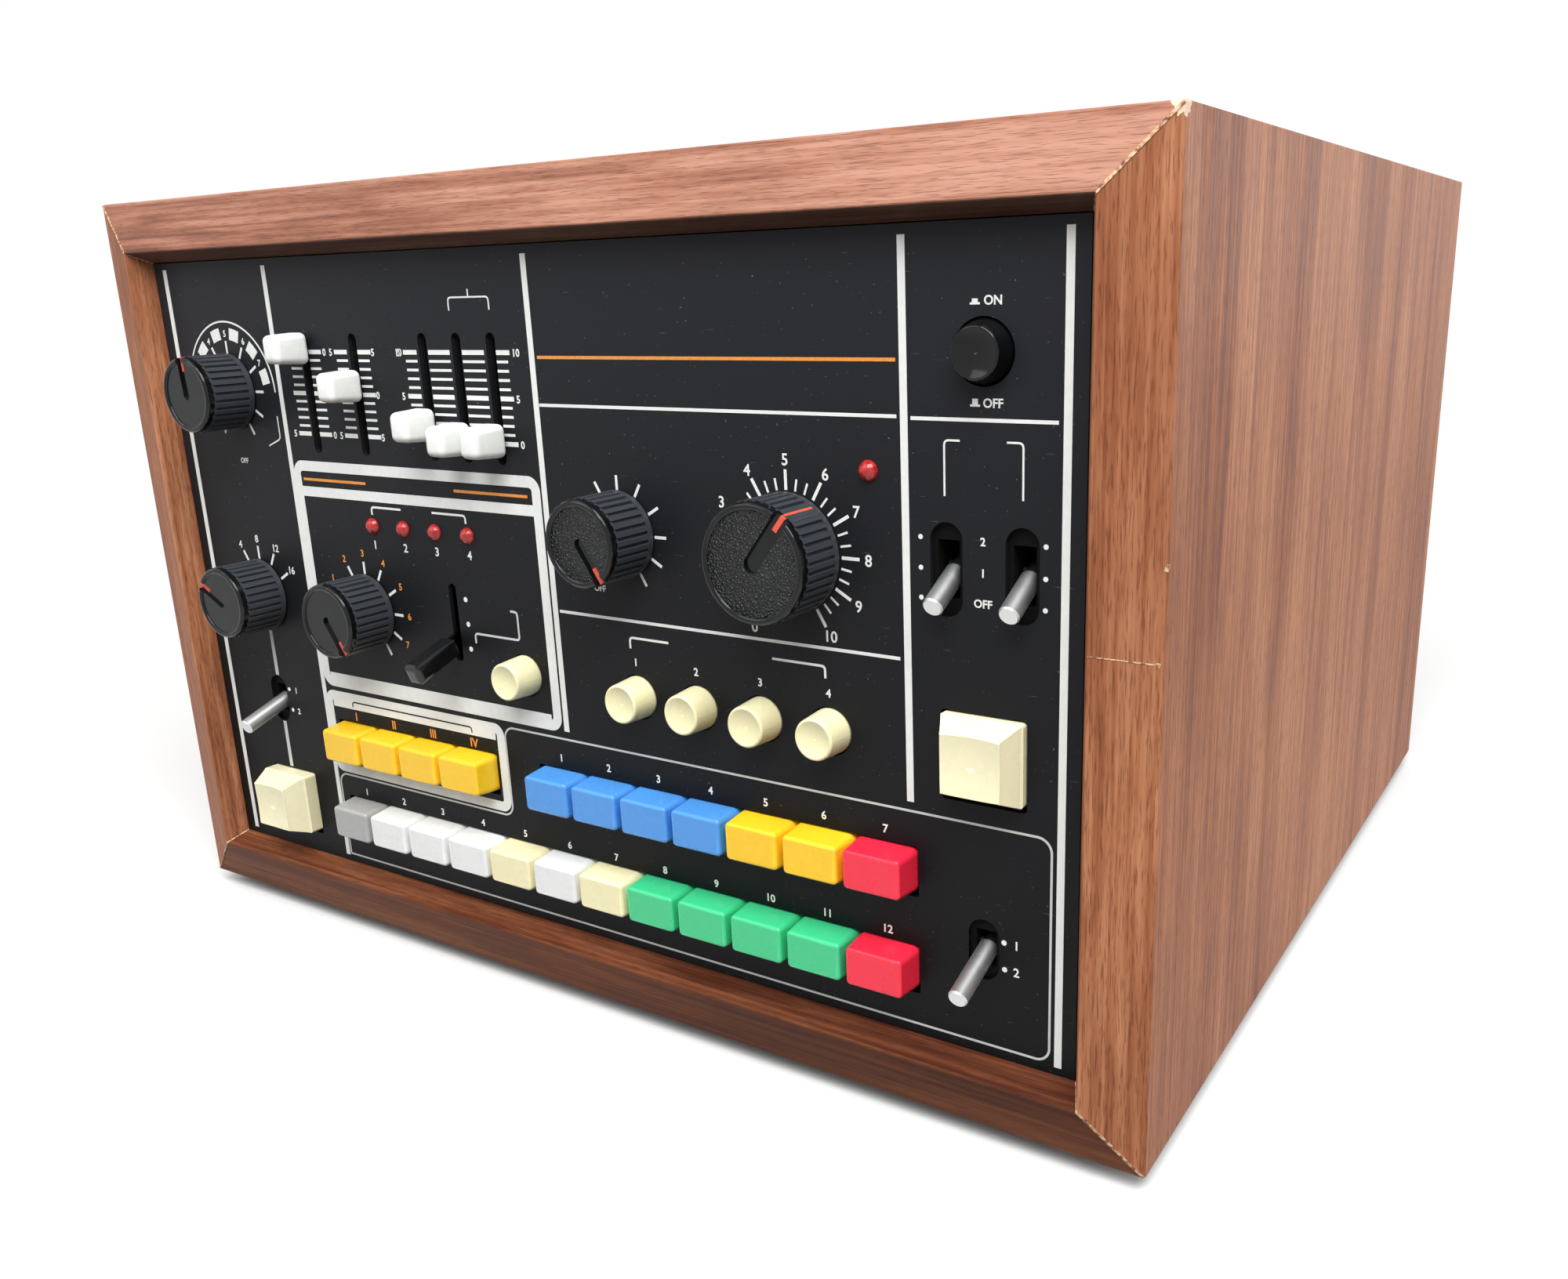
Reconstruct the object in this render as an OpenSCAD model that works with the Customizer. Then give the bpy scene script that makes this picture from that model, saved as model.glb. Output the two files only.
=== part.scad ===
// Table-top drum machine: a wood-cased rhythm unit with a metal control panel, dials,
// sliders, push buttons and toggle levers, and the boards and switches behind them.
// Frame: +X to the right, +Z up, the panel faces -Y. The origin is the middle of the
// footprint, at the underside of the feet. Panel shapes are drawn on the panel's own
// plane: x to the right, y up from its middle, z outwards from its front.

/* [Cabinet] */
// Width of the cabinet
cabinet_w = 394; // [388:1:440]
// Height of the cabinet without its feet
cabinet_h = 257; // [252:1:300]
// Depth from the ridge of the front edge to the back edge
cabinet_d = 367.3; // [320:0.1:420]
// Thickness of the four boards
board_t = 20.5; // [18.5:0.1:22]
// How far inwards from the outer face the ridge runs
ridge_in = 17.1; // [14:0.1:18]
// How far the outer edge lies behind the ridge
outer_fall = 5.1; // [2:0.1:8]
// How far the panel lies behind the ridge
panel_set = 7.8; // [4:0.1:12]
// How far the rear panel lies inside the back edge
rear_set = 8; // [3:0.5:16]
// Side of the square strips that the rear panel is screwed to
cleat = 13; // [10:0.5:16]
// Radius of a foot
foot_r = 10; // [8:0.5:14]
// Height of a foot
foot_h = 6; // [4:0.5:12]
// Distance of the feet from the cabinet's sides
foot_side = 52; // [36:1:70]
// Distance of the feet from the front ridge and from the back edge
foot_end = 55; // [45:1:80]

/* [Metal] */
// Thickness of the control panel and the rear panel
plate_t = 1.5; // [1:0.1:2]
// Depth of the control panel's folded flanges
flange = 14; // [10:1:20]
// Thickness of the chassis tray
tray_t = 1.2; // [0.8:0.1:2]
// Height of the tray's folded sides
tray_h = 18; // [12:1:30]
// Gap between the tray and the side boards
tray_side = 21.5; // [12:0.5:32]
// Distance of the tray's front edge from the control panel
tray_from = 40; // [39:1:44]

/* [Small knobs] */
// Radius of a small knob
knob_r = 12.9; // [10:0.1:13.2]
// Height of a small knob above the panel
knob_h = 18; // [16:0.5:24]
// Height of the plain skirt ring
knob_skirt = 2.6; // [1.5:0.1:4]
// How far the flutes end below the top of the crown
flute_drop = 2.4; // [2:0.1:5]
// How far the flutes stand out from the crown
flute_stand = 0.4; // [0.2:0.1:0.8]
// Number of flutes of a small knob
knob_flutes = 32; // [20:2:40]
// Depth of the flutes
flute_deep = 0.8; // [0.4:0.1:1]
// Width of the smooth ring round the face
ring_w = 2; // [1.2:0.1:3]
// How far the face lies below the ring
face_deep = 0.6; // [0.3:0.1:1.2]
// Width of the pointer groove of a small knob
groove_w = 3.2; // [2:0.1:4]
// Depth of the pointer grooves below the face
groove_deep = 0.9; // [0.4:0.1:1.5]

/* [Tempo dial] */
// Radius of the tempo knob
tempo_r = 16.5; // [13:0.1:18]
// Height of the tempo knob above the panel
tempo_h = 17.5; // [14:0.5:22]
// Number of flutes of the tempo knob
tempo_flutes = 42; // [30:2:50]
// Width of the tempo knob's pointer groove
tempo_groove_w = 4.8; // [2:0.1:6]

/* [Rotary controls] */
// Radius of the knob shafts
shaft_r = 3; // [2.5:0.1:3.2]
// Radius of the threaded bushings
bushing_r = 4; // [3.8:0.1:4.4]
// Height of the bushings in front of the panel
bushing_h = 3.4; // [3:0.1:4]
// Radius of the round control bodies
can_r = 9.5; // [8:0.1:10.5]
// Depth of the round control bodies
can_h = 12; // [9:0.5:16]
// Radius of the bushing nuts
nut_r = 6.2; // [5.6:0.1:6.8]
// Thickness of the bushing nuts
nut_h = 2; // [1.5:0.1:2.4]

/* [Round buttons] */
// Radius of a round button at its foot
round_r = 6.5; // [5:0.1:7]
// How much the radius narrows up to the face
round_taper = 0.5; // [0:0.1:1]
// Height of the voice buttons
round_h = 8.5; // [7:0.1:12]
// Height of the clear button
clear_h = 9.2; // [7:0.1:12]
// Radius of the power button at its foot
power_r = 7.6; // [6:0.1:9]
// How much the power button narrows up to its face
power_taper = 1.2; // [0:0.1:2]
// Height of the power button
power_h = 5.2; // [4:0.1:8]

/* [Rhythm buttons] */
// Gap between neighbouring rhythm buttons
button_space = 0.6; // [0.5:0.05:3]
// Height of a rhythm button along the panel
button_l = 12.9; // [10:0.1:13.2]
// How far a rhythm button stands out
button_h = 8.6; // [6:0.1:10]
// How much each side of a rhythm button leans in up to its face
button_lean = 0.7; // [0.2:0.1:0.9]
// Radius of a rhythm button's upright edges at its foot
button_corner = 2.1; // [2:0.1:3]
// Radius of the edges round a rhythm button's face
button_edge = 1; // [0.4:0.1:1]
// Number of buttons in the lower row
lower_count = 12; // [8:1:12]
// Number of buttons in the upper row
upper_count = 7; // [4:1:7]
// Number of programme buttons
program_count = 4; // [2:1:4]
// How far the panel slots of the rows reach above the middle of the buttons
row_slot_up = 7; // [6.8:0.1:8]
// How far the panel slots of the rows reach below the middle of the buttons
row_slot_down = 7.7; // [7:0.1:9]

/* [Large keys] */
// Width of a large key at its foot
large_w = 23.3; // [20:0.1:26]
// Height of a large key at its foot
large_l = 22.5; // [20:0.1:26]
// Width of a large key's face
large_face_w = 17; // [12:0.1:20]
// Height of a large key's face
large_face_l = 16.5; // [12:0.1:20]
// How far the start key stands out
start_h = 8.5; // [6:0.1:14]
// Height of the start key's straight skirt
start_skirt = 2; // [1:0.1:5]
// How far the fill key stands out
fill_h = 12; // [8:0.1:16]
// Height of the fill key's straight skirt
fill_skirt = 4.8; // [1:0.1:7]
// Depth of the scoop in a large key's face
large_scoop = 1; // [0.5:0.1:1.5]
// How far the openings of the large keys reach below them
large_room = 1.6; // [0.5:0.1:2.5]

/* [Button travel] */
// How far the push buttons travel
press = 3.5; // [2:0.1:4.5]
// How far the caps reach below the panel's front
cap_below = 4; // [3:0.1:5]
// Side of the square plungers
plunger = 4; // [3:0.1:5]
// Side of the square switch bodies
switch_side = 11; // [9:0.1:13]

/* [Sliders] */
// Travel of the sliders
slide_travel = 30; // [20:1:34]
// Width of a slider slot
slide_slot_w = 3.8; // [2.4:0.1:5]
// Width of a slider cap
cap_w = 7.4; // [6:0.1:9]
// Length of a slider cap
cap_l = 8.9; // [8:0.1:12]
// How far a slider cap's foot stands out round it
cap_rim = 0.7; // [0.3:0.1:1]
// Height of a slider cap's foot
cap_foot = 2.4; // [1:0.1:4]
// How far a slider cap stands out
cap_top = 11.6; // [10:0.1:16]
// Gap between the panel and a slider cap
cap_lift = 1.2; // [0.8:0.1:3]
// Thickness of a slider's blade
blade_t = 1.2; // [0.8:0.1:1.6]
// Width of a slider's blade
blade_w = 5; // [4:0.1:6]
// Depth of the slide control bodies
slide_body = 8; // [6:0.5:12]

/* [Toggles] */
// Radius of the toggle levers
toggle_r = 2.75; // [2:0.05:3]
// Radius of the levers' roots
root_r = 2.2; // [1.6:0.05:2.5]
// Length of a fade lever from its pivot
fade_l = 17.6; // [14:0.1:20]
// Length of a fade lever's root from its pivot
fade_root = 3; // [1.4:0.1:5]
// Depth of the fade levers' pivot behind the panel's front
fade_pivot = 8; // [6:0.1:12]
// Swing of a fade lever each side of its middle
fade_tilt = 27; // [15:1:30]
// Length of the fade slots
fade_slot = 24; // [20:0.5:26]
// Length of a rhythm or fill lever from its pivot
ab_l = 21.7; // [16:0.1:26]
// Length of a rhythm or fill lever's root from its pivot
ab_root = 1.6; // [1.4:0.1:4]
// Depth of the rhythm and fill levers' pivot behind the panel's front
ab_pivot = 5; // [4.5:0.1:8]
// Swing of a rhythm or fill lever each side of its middle
ab_tilt = 19; // [10:1:25]
// Length of the rhythm and fill slots
ab_slot = 17.5; // [13:0.5:22]
// Width of the toggle slots
toggle_slot_w = 9; // [7:0.1:11]
// Radius of the pivot pins
pin_r = 1; // [0.8:0.1:1.2]

/* [Mode lever] */
// Length of the mode lever from its pivot
mode_l = 38; // [34:0.1:42]
// Length of the mode lever's black cap
mode_cap_l = 17.6; // [14:0.1:18]
// Width of the mode lever's cap
mode_cap_w = 6.6; // [5:0.1:8]
// Height of the mode lever's cap along the panel, at its end
mode_cap_t = 7.1; // [6:0.1:8]
// Height of the mode lever's cap where it starts
mode_cap_foot = 5.4; // [4.6:0.1:6]
// Radius of the edges at the end of the mode lever's cap
mode_cap_edge = 2; // [1:0.1:2.4]
// Depth of the mode lever's pivot behind the panel's front
mode_pivot = 16; // [14:0.1:18]
// Swing of the mode lever each side of its middle
mode_tilt = 20; // [8:1:22]
// Width of the mode lever's slot
mode_slot_w = 3.4; // [2.4:0.1:5]
// Length of the mode lever's slot
mode_slot_l = 26; // [24:0.5:30]

/* [Lamps] */
// Radius of the indicator lamps
lamp_r = 2.8; // [2:0.1:3]
// How far the lamps stand out
lamp_h = 2.2; // [1:0.1:3]
// Distance between the track lamps
lamp_pitch = 15; // [10:0.5:18]

/* [Inside] */
// Depth of the front circuit board behind the panel's front
board_depth = 34; // [32:0.5:40]
// Thickness of the circuit boards
card_t = 1.6; // [1:0.1:2]
// Gap between the front circuit board and the side boards
card_margin = 7; // [5:0.5:8]
// Gap between the front circuit board and the top and bottom boards
card_edge = 4.5; // [3:0.5:6]
// Width of the supply circuit board
supply_w = 80; // [70:1:86]
// Gap between the main and the supply board
card_space = 15; // [10:1:20]
// Distance of the main board from the tray's left side
card_left = 15; // [8:1:24]
// Distance of the supply board from the tray's right side
card_right = 10; // [6:1:16]
// Depth of the main circuit board
main_card_d = 140; // [100:1:150]
// Length of the spacers under the main and supply boards
spacer_h = 8; // [5:0.5:14]
// Width of the transformer's iron core
core_w = 46; // [36:1:56]
// Height of the transformer's iron core
core_h = 40; // [30:1:50]

/* [Rear sockets] */
// Radius of a socket's opening
jack_r = 3.25; // [3:0.05:3.5]
// Depth of a socket's opening
jack_deep = 24; // [16:1:28]
// Distance between neighbouring sockets
jack_pitch = 30; // [26:0.5:34]
// Number of sockets in the row
jack_count = 5; // [3:1:5]
// Radius of the cord gland's opening
gland_bore = 4; // [3:0.1:5]

/* [Places on the panel] */
// Variation knob: from the panel's left edge, and from the middle height
variation_place = [35.2, 64.3]; // [-150:0.1:150]
// Measure knob: from the panel's left edge, and from the middle height
measure_place = [35.2, -8]; // [-150:0.1:150]
// Middle of the instrument knob
instrument_at = [-83.6, -8.4]; // [-150:0.1:150]
// Middle of the accent knob
accent_at = [33, 26.7]; // [-150:0.1:150]
// Middle of the tempo knob
tempo_at = [92, 26]; // [-150:0.1:150]
// Power button: from the panel's right edge, and from the middle height
power_place = [26.7, 78.3]; // [-90:0.1:90]
// Start key: from the panel's right edge, and from the middle height
start_place = [26.8, -22.6]; // [-90:0.1:90]
// Fill key: from the panel's left edge, and from its bottom edge
fill_place = [36.2, 20.8]; // [15:0.1:60]
// Middle of the clear button
clear_at = [-11.7, -21.9]; // [-150:0.1:150]
// Middle of the first voice button
voice_at = [35, -22.5]; // [-150:0.1:150]
// Distance between the voice buttons
voice_pitch = 22.7; // [18:0.1:24]
// Middle of the rows' first button from the panel's left edge
row_left = 77.6; // [72:0.1:80]
// Middle of the rows' last button from the panel's right edge
row_right = 56.5; // [54:0.1:60]
// Middle of the lower row from the panel's bottom edge
row_low = 20.5; // [19:0.1:23]
// Distance between the lower and the upper row
row_rise = 29.3; // [27:0.1:31]
// Fade-in lever: from the panel's right edge, and from the middle height
fade_in_place = [37, 25.5]; // [-90:0.1:90]
// Fade-out lever: from the panel's right edge, and from the middle height
fade_out_place = [16.4, 25.5]; // [-90:0.1:90]
// Rhythm lever: from the panel's right edge, and from the middle height
rhythm_place = [26.8, -76.5]; // [-90:0.1:90]
// Fill lever: from the panel's left edge, and from the middle height
fill_lever_place = [34.5, -48]; // [-90:0.1:90]
// Middle of the mode lever
mode_at = [-41.2, -8]; // [-150:0.1:150]
// Height of the middle of the sliders' travel
slide_z = 64; // [55:0.1:75]
// Middle of the first track lamp
lamp_at = [-76.2, 21.3]; // [-150:0.1:150]
// Middle of the tempo lamp
tempo_lamp_at = [117.5, 49]; // [-150:0.1:150]

/* [Settings shown] */
// Direction of the variation pointer, clockwise from straight up
variation_turn = -4; // [-180:1:180]
// Direction of the measure pointer
measure_turn = -62; // [-180:1:180]
// Direction of the instrument pointer
instrument_turn = 147; // [-180:1:180]
// Direction of the accent pointer
accent_turn = 147; // [-180:1:180]
// Direction of the tempo pointer
tempo_turn = 38; // [-180:1:180]
// Where the five sliders stand, from the bottom of their travel (0) to the top (1)
slide_set = [1, 0.61, 0.232, 0.105, 0.105]; // [0:0.01:1]

/* [Fits] */
// Gap between the mitred boards, filled with glue
glue_gap = 0.1; // [0.05:0.05:0.3]
// Gap between pieces that are seated on each other
seat_gap = 0.05; // [0.02:0.01:0.1]
// Radial clearance of shafts and pivot pins
run_gap = 0.05; // [0.02:0.01:0.09]
// Clearance of the panels inside the boards
panel_gap = 0.3; // [0.2:0.1:1]
// Clearance of blades and plungers in their channels
slip_gap = 0.3; // [0.2:0.05:0.4]
// Gap between a button cap and its opening
cap_gap = 0.5; // [0.3:0.05:0.8]

/* [Hidden] */
slide_x = [-98.9, -74.6, -41.9, -26.9, -12.2];
cut = 1;
round_fn = 64;

// Colours
walnut = "#6b4a33";
black = "#1d1d1f";
steel = "#a9abad";
cream = "#f3ecc8";
amber = "#f5bd33";
blue = "#4f93d2";
red = "#e23c4a";
green = "#45b57c";
brass = "#b9985a";
white = "#e6e6e2";
grey = "#8f9193";
card_green = "#2f5d3a";
upper_colors = [blue, blue, blue, blue, amber, amber, red];
lower_colors = [grey, white, white, white, cream, white, cream, green, green, green, green, red];

// Places that follow from the sizes above
// The foremost point is a knob's ring or the lower edge of the tipped mode lever
mode_reach = (mode_l - mode_cap_edge) * cos(mode_tilt)
    + (mode_cap_t / 2 - mode_cap_edge) * sin(mode_tilt) + mode_cap_edge - mode_pivot;
reach = max(knob_h, tempo_h, mode_reach) - panel_set;
full_d = cabinet_d + reach;
ridge_y = reach - full_d / 2;
back_y = full_d / 2;
panel_y = ridge_y + panel_set;
middle_z = foot_h + cabinet_h / 2;
floor_z = foot_h + board_t;
inner_w = cabinet_w - 2 * board_t;
inner_h = cabinet_h - 2 * board_t;
rear_face_y = back_y - rear_set;
rear_in_y = rear_face_y - plate_t;
body_front = -plate_t - seat_gap;
card_front = -board_depth;
tray_z = floor_z + seat_gap;
tray_back = 6;
tray_y = [panel_y + tray_from, rear_in_y - tray_back];
tray_w = inner_w - 2 * tray_side;
card_z = tray_z + tray_t + spacer_h;
foot_x = cabinet_w / 2 - foot_side;
foot_y = [ridge_y + foot_end, back_y - foot_end];
pillar_in = [12, 9];
pillar_x = inner_w / 2 - pillar_in[0];
pillar_y = inner_h / 2 - pillar_in[1];
pillars = [
    [-pillar_x, pillar_y], [pillar_x, pillar_y], [-pillar_x, -pillar_y], [pillar_x, -pillar_y],
    [0, pillar_y], [18, -4]
];

// Places on the panel, from its middle
function from_left(at) = [at[0] - inner_w / 2, at[1]];
function from_right(at) = [inner_w / 2 - at[0], at[1]];
variation_at = from_left(variation_place);
measure_at = from_left(measure_place);
fill_at = from_left([fill_place[0], fill_place[1] - inner_h / 2]);
fill_toggle_at = from_left(fill_lever_place);
power_at = from_right(power_place);
start_at = from_right(start_place);
fade_in_at = from_right(fade_in_place);
fade_out_at = from_right(fade_out_place);
rhythm_at = from_right(rhythm_place);
pitch = (inner_w - row_left - row_right) / (lower_count - 1);
button_w = pitch - button_space;
lower_first = row_left - inner_w / 2;
upper_first = inner_w / 2 - row_right - (upper_count - 1) * pitch;
lower_z = row_low - inner_h / 2;
upper_z = lower_z + row_rise;
lamps = concat([for (i = [0 : 3]) lamp_at + [i * lamp_pitch, 0]], [tempo_lamp_at]);
dials = [variation_at, measure_at, instrument_at, accent_at, tempo_at];
voices = [for (i = [0 : 3]) voice_at + [i * voice_pitch, 0]];
uppers = [for (i = [0 : upper_count - 1]) [upper_first + i * pitch, upper_z]];
lowers = [for (i = [0 : lower_count - 1]) [lower_first + i * pitch, lower_z]];
programs = [for (i = [0 : program_count - 1]) [lower_first + i * pitch, upper_z]];
buttons = concat(voices, uppers, lowers, programs, [clear_at, power_at, start_at, fill_at]);
jacks = [for (i = [0 : jack_count - 1]) [i * jack_pitch - 120, -30]];

// Small sizes of the inner pieces
knob_lift = 0.8;
nut_room = bushing_h + 0.6;
shaft_wall = 4;
can_back = 2;
socket_deep = 3;
switch_top = -cap_below - press - 2.5;
switch_floor = card_front + 1.5;
plunger_end = switch_floor + press + slip_gap;
screw_r = 1.5;
screw_bite = 10;
screw_head_r = 3;
screw_head_h = 2;
foot_screw_r = 2;
foot_head_r = 3.8;
foot_head_h = 2.2;
foot_nut_r = 4;
pillar_r = 3;
flange_screw_x = inner_w / 2 - 46.5;
flange_screws_x = [-flange_screw_x, 0, flange_screw_x];
rear_screw_z = inner_h / 2 - 33;
rear_screws_z = [-rear_screw_z, 0, rear_screw_z];
flange_short = 10;
cleat_short = 15;
rear_screw_x = inner_w / 2 - cleat / 2;
slide_body_w = 9;
slide_end = 8;
slide_floor = body_front - slide_body + 1;
slide_channel = slide_travel + blade_w + 2 * slip_gap;
slide_slot_l = slide_travel + blade_w + 4;
toggle_cheek = 3.4;
toggle_below = 3;
toggle_back = 8;
toggle_size = [2 * (toggle_r + slip_gap + toggle_cheek), 27];
mode_blade_t = 1.4;
mode_blade_w = 5;
mode_body = [14, 30];
mode_body_h = 6;
jack_body = [16, 14];
jack_neck_r = 5;
jack_neck = 3;
jack_nut_r = 7.5;
fuse_r = 6.2;
fuse_cap = 7;
fuse_l = 32;
fuse_at = [60, -30];
gland_r = 6.5;
gland_l = 12;
gland_rim = 6;
gland_grip = 4;
gland_at = [110, -30];
main_card_w = tray_w - card_left - card_space - supply_w - card_right;
main_card_at = [card_left + main_card_w / 2 - tray_w / 2, 10];
supply_card = [supply_w, 60];
supply_card_at = [tray_w / 2 - card_right - supply_w / 2, -45];
chip_size = [7.6, 19, 3.6];
chip_first = [33, 40];
chip_pitch = [(main_card_w - 94) / 3, 34];
smoothing = [4, 12];
spacer_inset = 6;
core_at = [supply_card_at[0], 70];
core_d = 36;
core_foot = 10;
core_foot_t = 1.5;
core_leg = 8;
core_gap = 0.5;
core_foot_x = core_w / 2 + core_foot / 2;
ribbon_w = 30;
ribbon_t = 0.8;
ribbon_plug = 8;

// ---- Helpers ----

// Puts its children on the panel's plane at [right, up] of its middle, turned clockwise
module on_panel(at = [0, 0], turn = 0)
    translate([at[0], panel_y, middle_z + at[1]]) rotate([90, turn, 0]) children();

// Puts its children on the rear panel's outer face, their z outwards to the back
module on_rear(at)
    translate([at[0], rear_face_y, middle_z + at[1]]) rotate([-90, 0, 0]) children();

module rod(r, z0, z1) translate([0, 0, z0]) cylinder(r = r, h = z1 - z0, $fn = round_fn);

module hex(r, z0, z1) translate([0, 0, z0]) cylinder(r = r, h = z1 - z0, $fn = 6);

// Box centred on the z axis
module slab(w, l, z0, z1) translate([-w / 2, -l / 2, z0]) cube([w, l, z1 - z0]);

// Flat outline with round corners
module rounded(w, l, r) {
    square([w - 2 * r, l], center = true);
    square([w, l - 2 * r], center = true);
    for (sx = [-1, 1], sy = [-1, 1])
        translate([sx * (w / 2 - r), sy * (l / 2 - r)]) circle(r = r, $fn = round_fn);
}

// Slot outline with round ends, long along y
module stadium(w, l) {
    square([w, l - w], center = true);
    for (side = [-1, 1]) translate([0, side * (l - w) / 2]) circle(d = w, $fn = round_fn);
}

// Upper edge of a side view: a round edge of radius r at half width `half` and height z
function round_edge(half, z, r) =
    [for (a = [0 : 15 : 90]) [half - r + r * cos(a), z - r + r * sin(a)]];

function mirrored(points) =
    [for (i = [len(points) - 1 : -1 : 0]) [-points[i][0], points[i][1]]];

// Side view of a cap from z0 to z1 whose straight flanks lean in from foot_w to top_w
module cap_side(foot_w, top_w, z0, z1, r) {
    half = round_edge(top_w / 2, z1, r);
    polygon(concat([[-foot_w / 2, z0], [foot_w / 2, z0]], half, mirrored(half)));
}

// Side view of a large key: an upright skirt up to z1, then a slope to the face at z2
module key_side(foot_w, face_w, z0, z1, z2) {
    half = concat([[foot_w / 2, z1 - 0.6], [foot_w / 2 - 0.5, z1]], round_edge(face_w / 2, z2, 0.8));
    polygon(concat([[-foot_w / 2, z0], [foot_w / 2, z0]], half, mirrored(half)));
}

// A side view drawn in x and z, run along y; and one drawn in y and z, run along x
module along_y(l) rotate([90, 0, 0]) linear_extrude(l, center = true) children();
module along_x(w) rotate([90, 0, 90]) linear_extrude(w, center = true) children();

// Ball that sinks a dish of radius r and depth d into a face at height z
module dish(r, d, z) {
    ball = (r * r + d * d) / (2 * d);
    translate([0, 0, z + ball - d]) sphere(r = ball, $fn = 96);
}

// ---- Cabinet ----

// A board lying along x, its outer face at z = 0, cut to 45 degrees at both ends
module mitred_board(length) {
    half = length / 2 - glue_gap;
    intersection() {
        along_x(length) polygon([
            [outer_fall, 0], [0, ridge_in], [panel_set, board_t], [cabinet_d, board_t],
            [cabinet_d, 0]
        ]);
        translate([0, cabinet_d / 2, 0]) along_y(cabinet_d + 2 * cut) polygon([
            [-half, 0], [half, 0], [half - board_t, board_t], [board_t - half, board_t]
        ]);
    }
}

module cabinet_boards() color(walnut) difference() {
    union() {
        translate([0, ridge_y, middle_z]) for (turn = [0, 180]) {
            rotate([0, turn, 0]) translate([0, 0, -cabinet_h / 2]) mitred_board(cabinet_w);
            rotate([0, turn + 90, 0]) translate([0, 0, -cabinet_w / 2]) mitred_board(cabinet_h);
        }
        for (side = [-1, 1])
            translate([side * (inner_w / 2 - seat_gap - cleat / 2), rear_in_y - seat_gap, middle_z])
                rotate([90, 0, 0]) slab(cleat, inner_h - 2 * cleat_short, 0, cleat);
    }
    for (x = flange_screws_x, side = [0, 180])
        translate([x, panel_y + flange - 5, middle_z]) rotate([0, side, 0])
            rod(screw_r + run_gap, inner_h / 2 - cut, inner_h / 2 + screw_bite);
    for (x = [-foot_x, foot_x], y = foot_y)
        translate([x, y, 0]) rod(foot_screw_r + run_gap, foot_h - cut, floor_z + cut);
    for (side = [-1, 1], z = rear_screws_z)
        on_rear([side * rear_screw_x, z]) rod(screw_r + run_gap, -plate_t - screw_bite, cut);
    for (side = [-1, 1]) translate([core_at[0] + side * core_foot_x, core_at[1], 0])
        rod(screw_r + run_gap, floor_z - screw_bite, floor_z + cut);
}

module rubber_feet() color(black) for (x = [-foot_x, foot_x], y = foot_y)
    translate([x, y, 0]) difference() {
        rotate_extrude($fn = round_fn) polygon([
            [0, 0], [foot_r - 1.2, 0], [foot_r, 1.2], [foot_r, foot_h - seat_gap],
            [0, foot_h - seat_gap]
        ]);
        rod(foot_screw_r + run_gap, -cut, foot_h + cut);
        rod(foot_head_r + 1, -cut, foot_h / 2);
    }

// ---- Panels and chassis ----

// Openings of the control panel, as flat shapes on its plane
module panel_openings() {
    for (at = dials) translate(at) circle(r = bushing_r + run_gap, $fn = round_fn);
    for (at = concat(voices, [clear_at])) translate(at)
        circle(r = round_r + cap_gap, $fn = round_fn);
    translate(power_at) circle(r = power_r + cap_gap, $fn = round_fn);
    for (at = [start_at, fill_at]) translate(at + [0, (cap_gap - large_room) / 2])
        rounded(large_w + 2 * cap_gap, large_l + cap_gap + large_room, 1);
    for (row = [lowers, uppers, programs]) translate((row[0] + row[len(row) - 1]) / 2)
        translate([0, (row_slot_up - row_slot_down) / 2]) rounded(
            (len(row) - 1) * pitch + button_w + 2 * cap_gap, row_slot_up + row_slot_down, 0.6
        );
    for (x = slide_x) translate([x, slide_z]) stadium(slide_slot_w, slide_slot_l);
    translate(mode_at) stadium(mode_slot_w, mode_slot_l);
    for (at = [fade_in_at, fade_out_at]) translate(at) stadium(toggle_slot_w, fade_slot);
    for (at = [rhythm_at, fill_toggle_at]) translate(at) stadium(toggle_slot_w, ab_slot);
    for (at = lamps) translate(at) circle(r = lamp_r + run_gap, $fn = round_fn);
}

module front_panel() color(black) on_panel() {
    w = inner_w - 2 * panel_gap;
    h = inner_h - 2 * panel_gap;
    difference() {
        union() {
            slab(w, h, -plate_t, 0);
            for (side = [-1, 1]) translate([0, side * (h - plate_t) / 2, 0])
                slab(w - 2 * flange_short, plate_t, -flange, -plate_t / 2);
        }
        translate([0, 0, -plate_t - cut]) linear_extrude(plate_t + 2 * cut) panel_openings();
        for (x = flange_screws_x) translate([x, 0, 5 - flange]) rotate([90, 0, 0])
            rod(screw_r + run_gap, -inner_h, inner_h);
    }
}

module rear_panel() color(black) difference() {
    on_rear([0, 0]) slab(inner_w - 2 * panel_gap, inner_h - 2 * panel_gap, -plate_t, 0);
    for (at = jacks) on_rear(at) rod(jack_neck_r + run_gap, -plate_t - cut, cut);
    on_rear(fuse_at) rod(fuse_r + run_gap, -plate_t - cut, cut);
    on_rear(gland_at) rod(gland_r + run_gap, -plate_t - cut, cut);
    for (side = [-1, 1], z = rear_screws_z)
        on_rear([side * rear_screw_x, z]) rod(screw_r + run_gap, -plate_t - cut, cut);
}

// Corners of a card of size [w, d] round `at`, inset for its spacers
function spacer_places(at, size) = [
    for (sx = [-1, 1], sy = [-1, 1])
        at + [sx * (size[0] / 2 - spacer_inset), sy * (size[1] / 2 - spacer_inset)]
];
main_card = [main_card_w, main_card_d];
spacers = concat(
    spacer_places(main_card_at, main_card), spacer_places(supply_card_at, supply_card)
);

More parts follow.
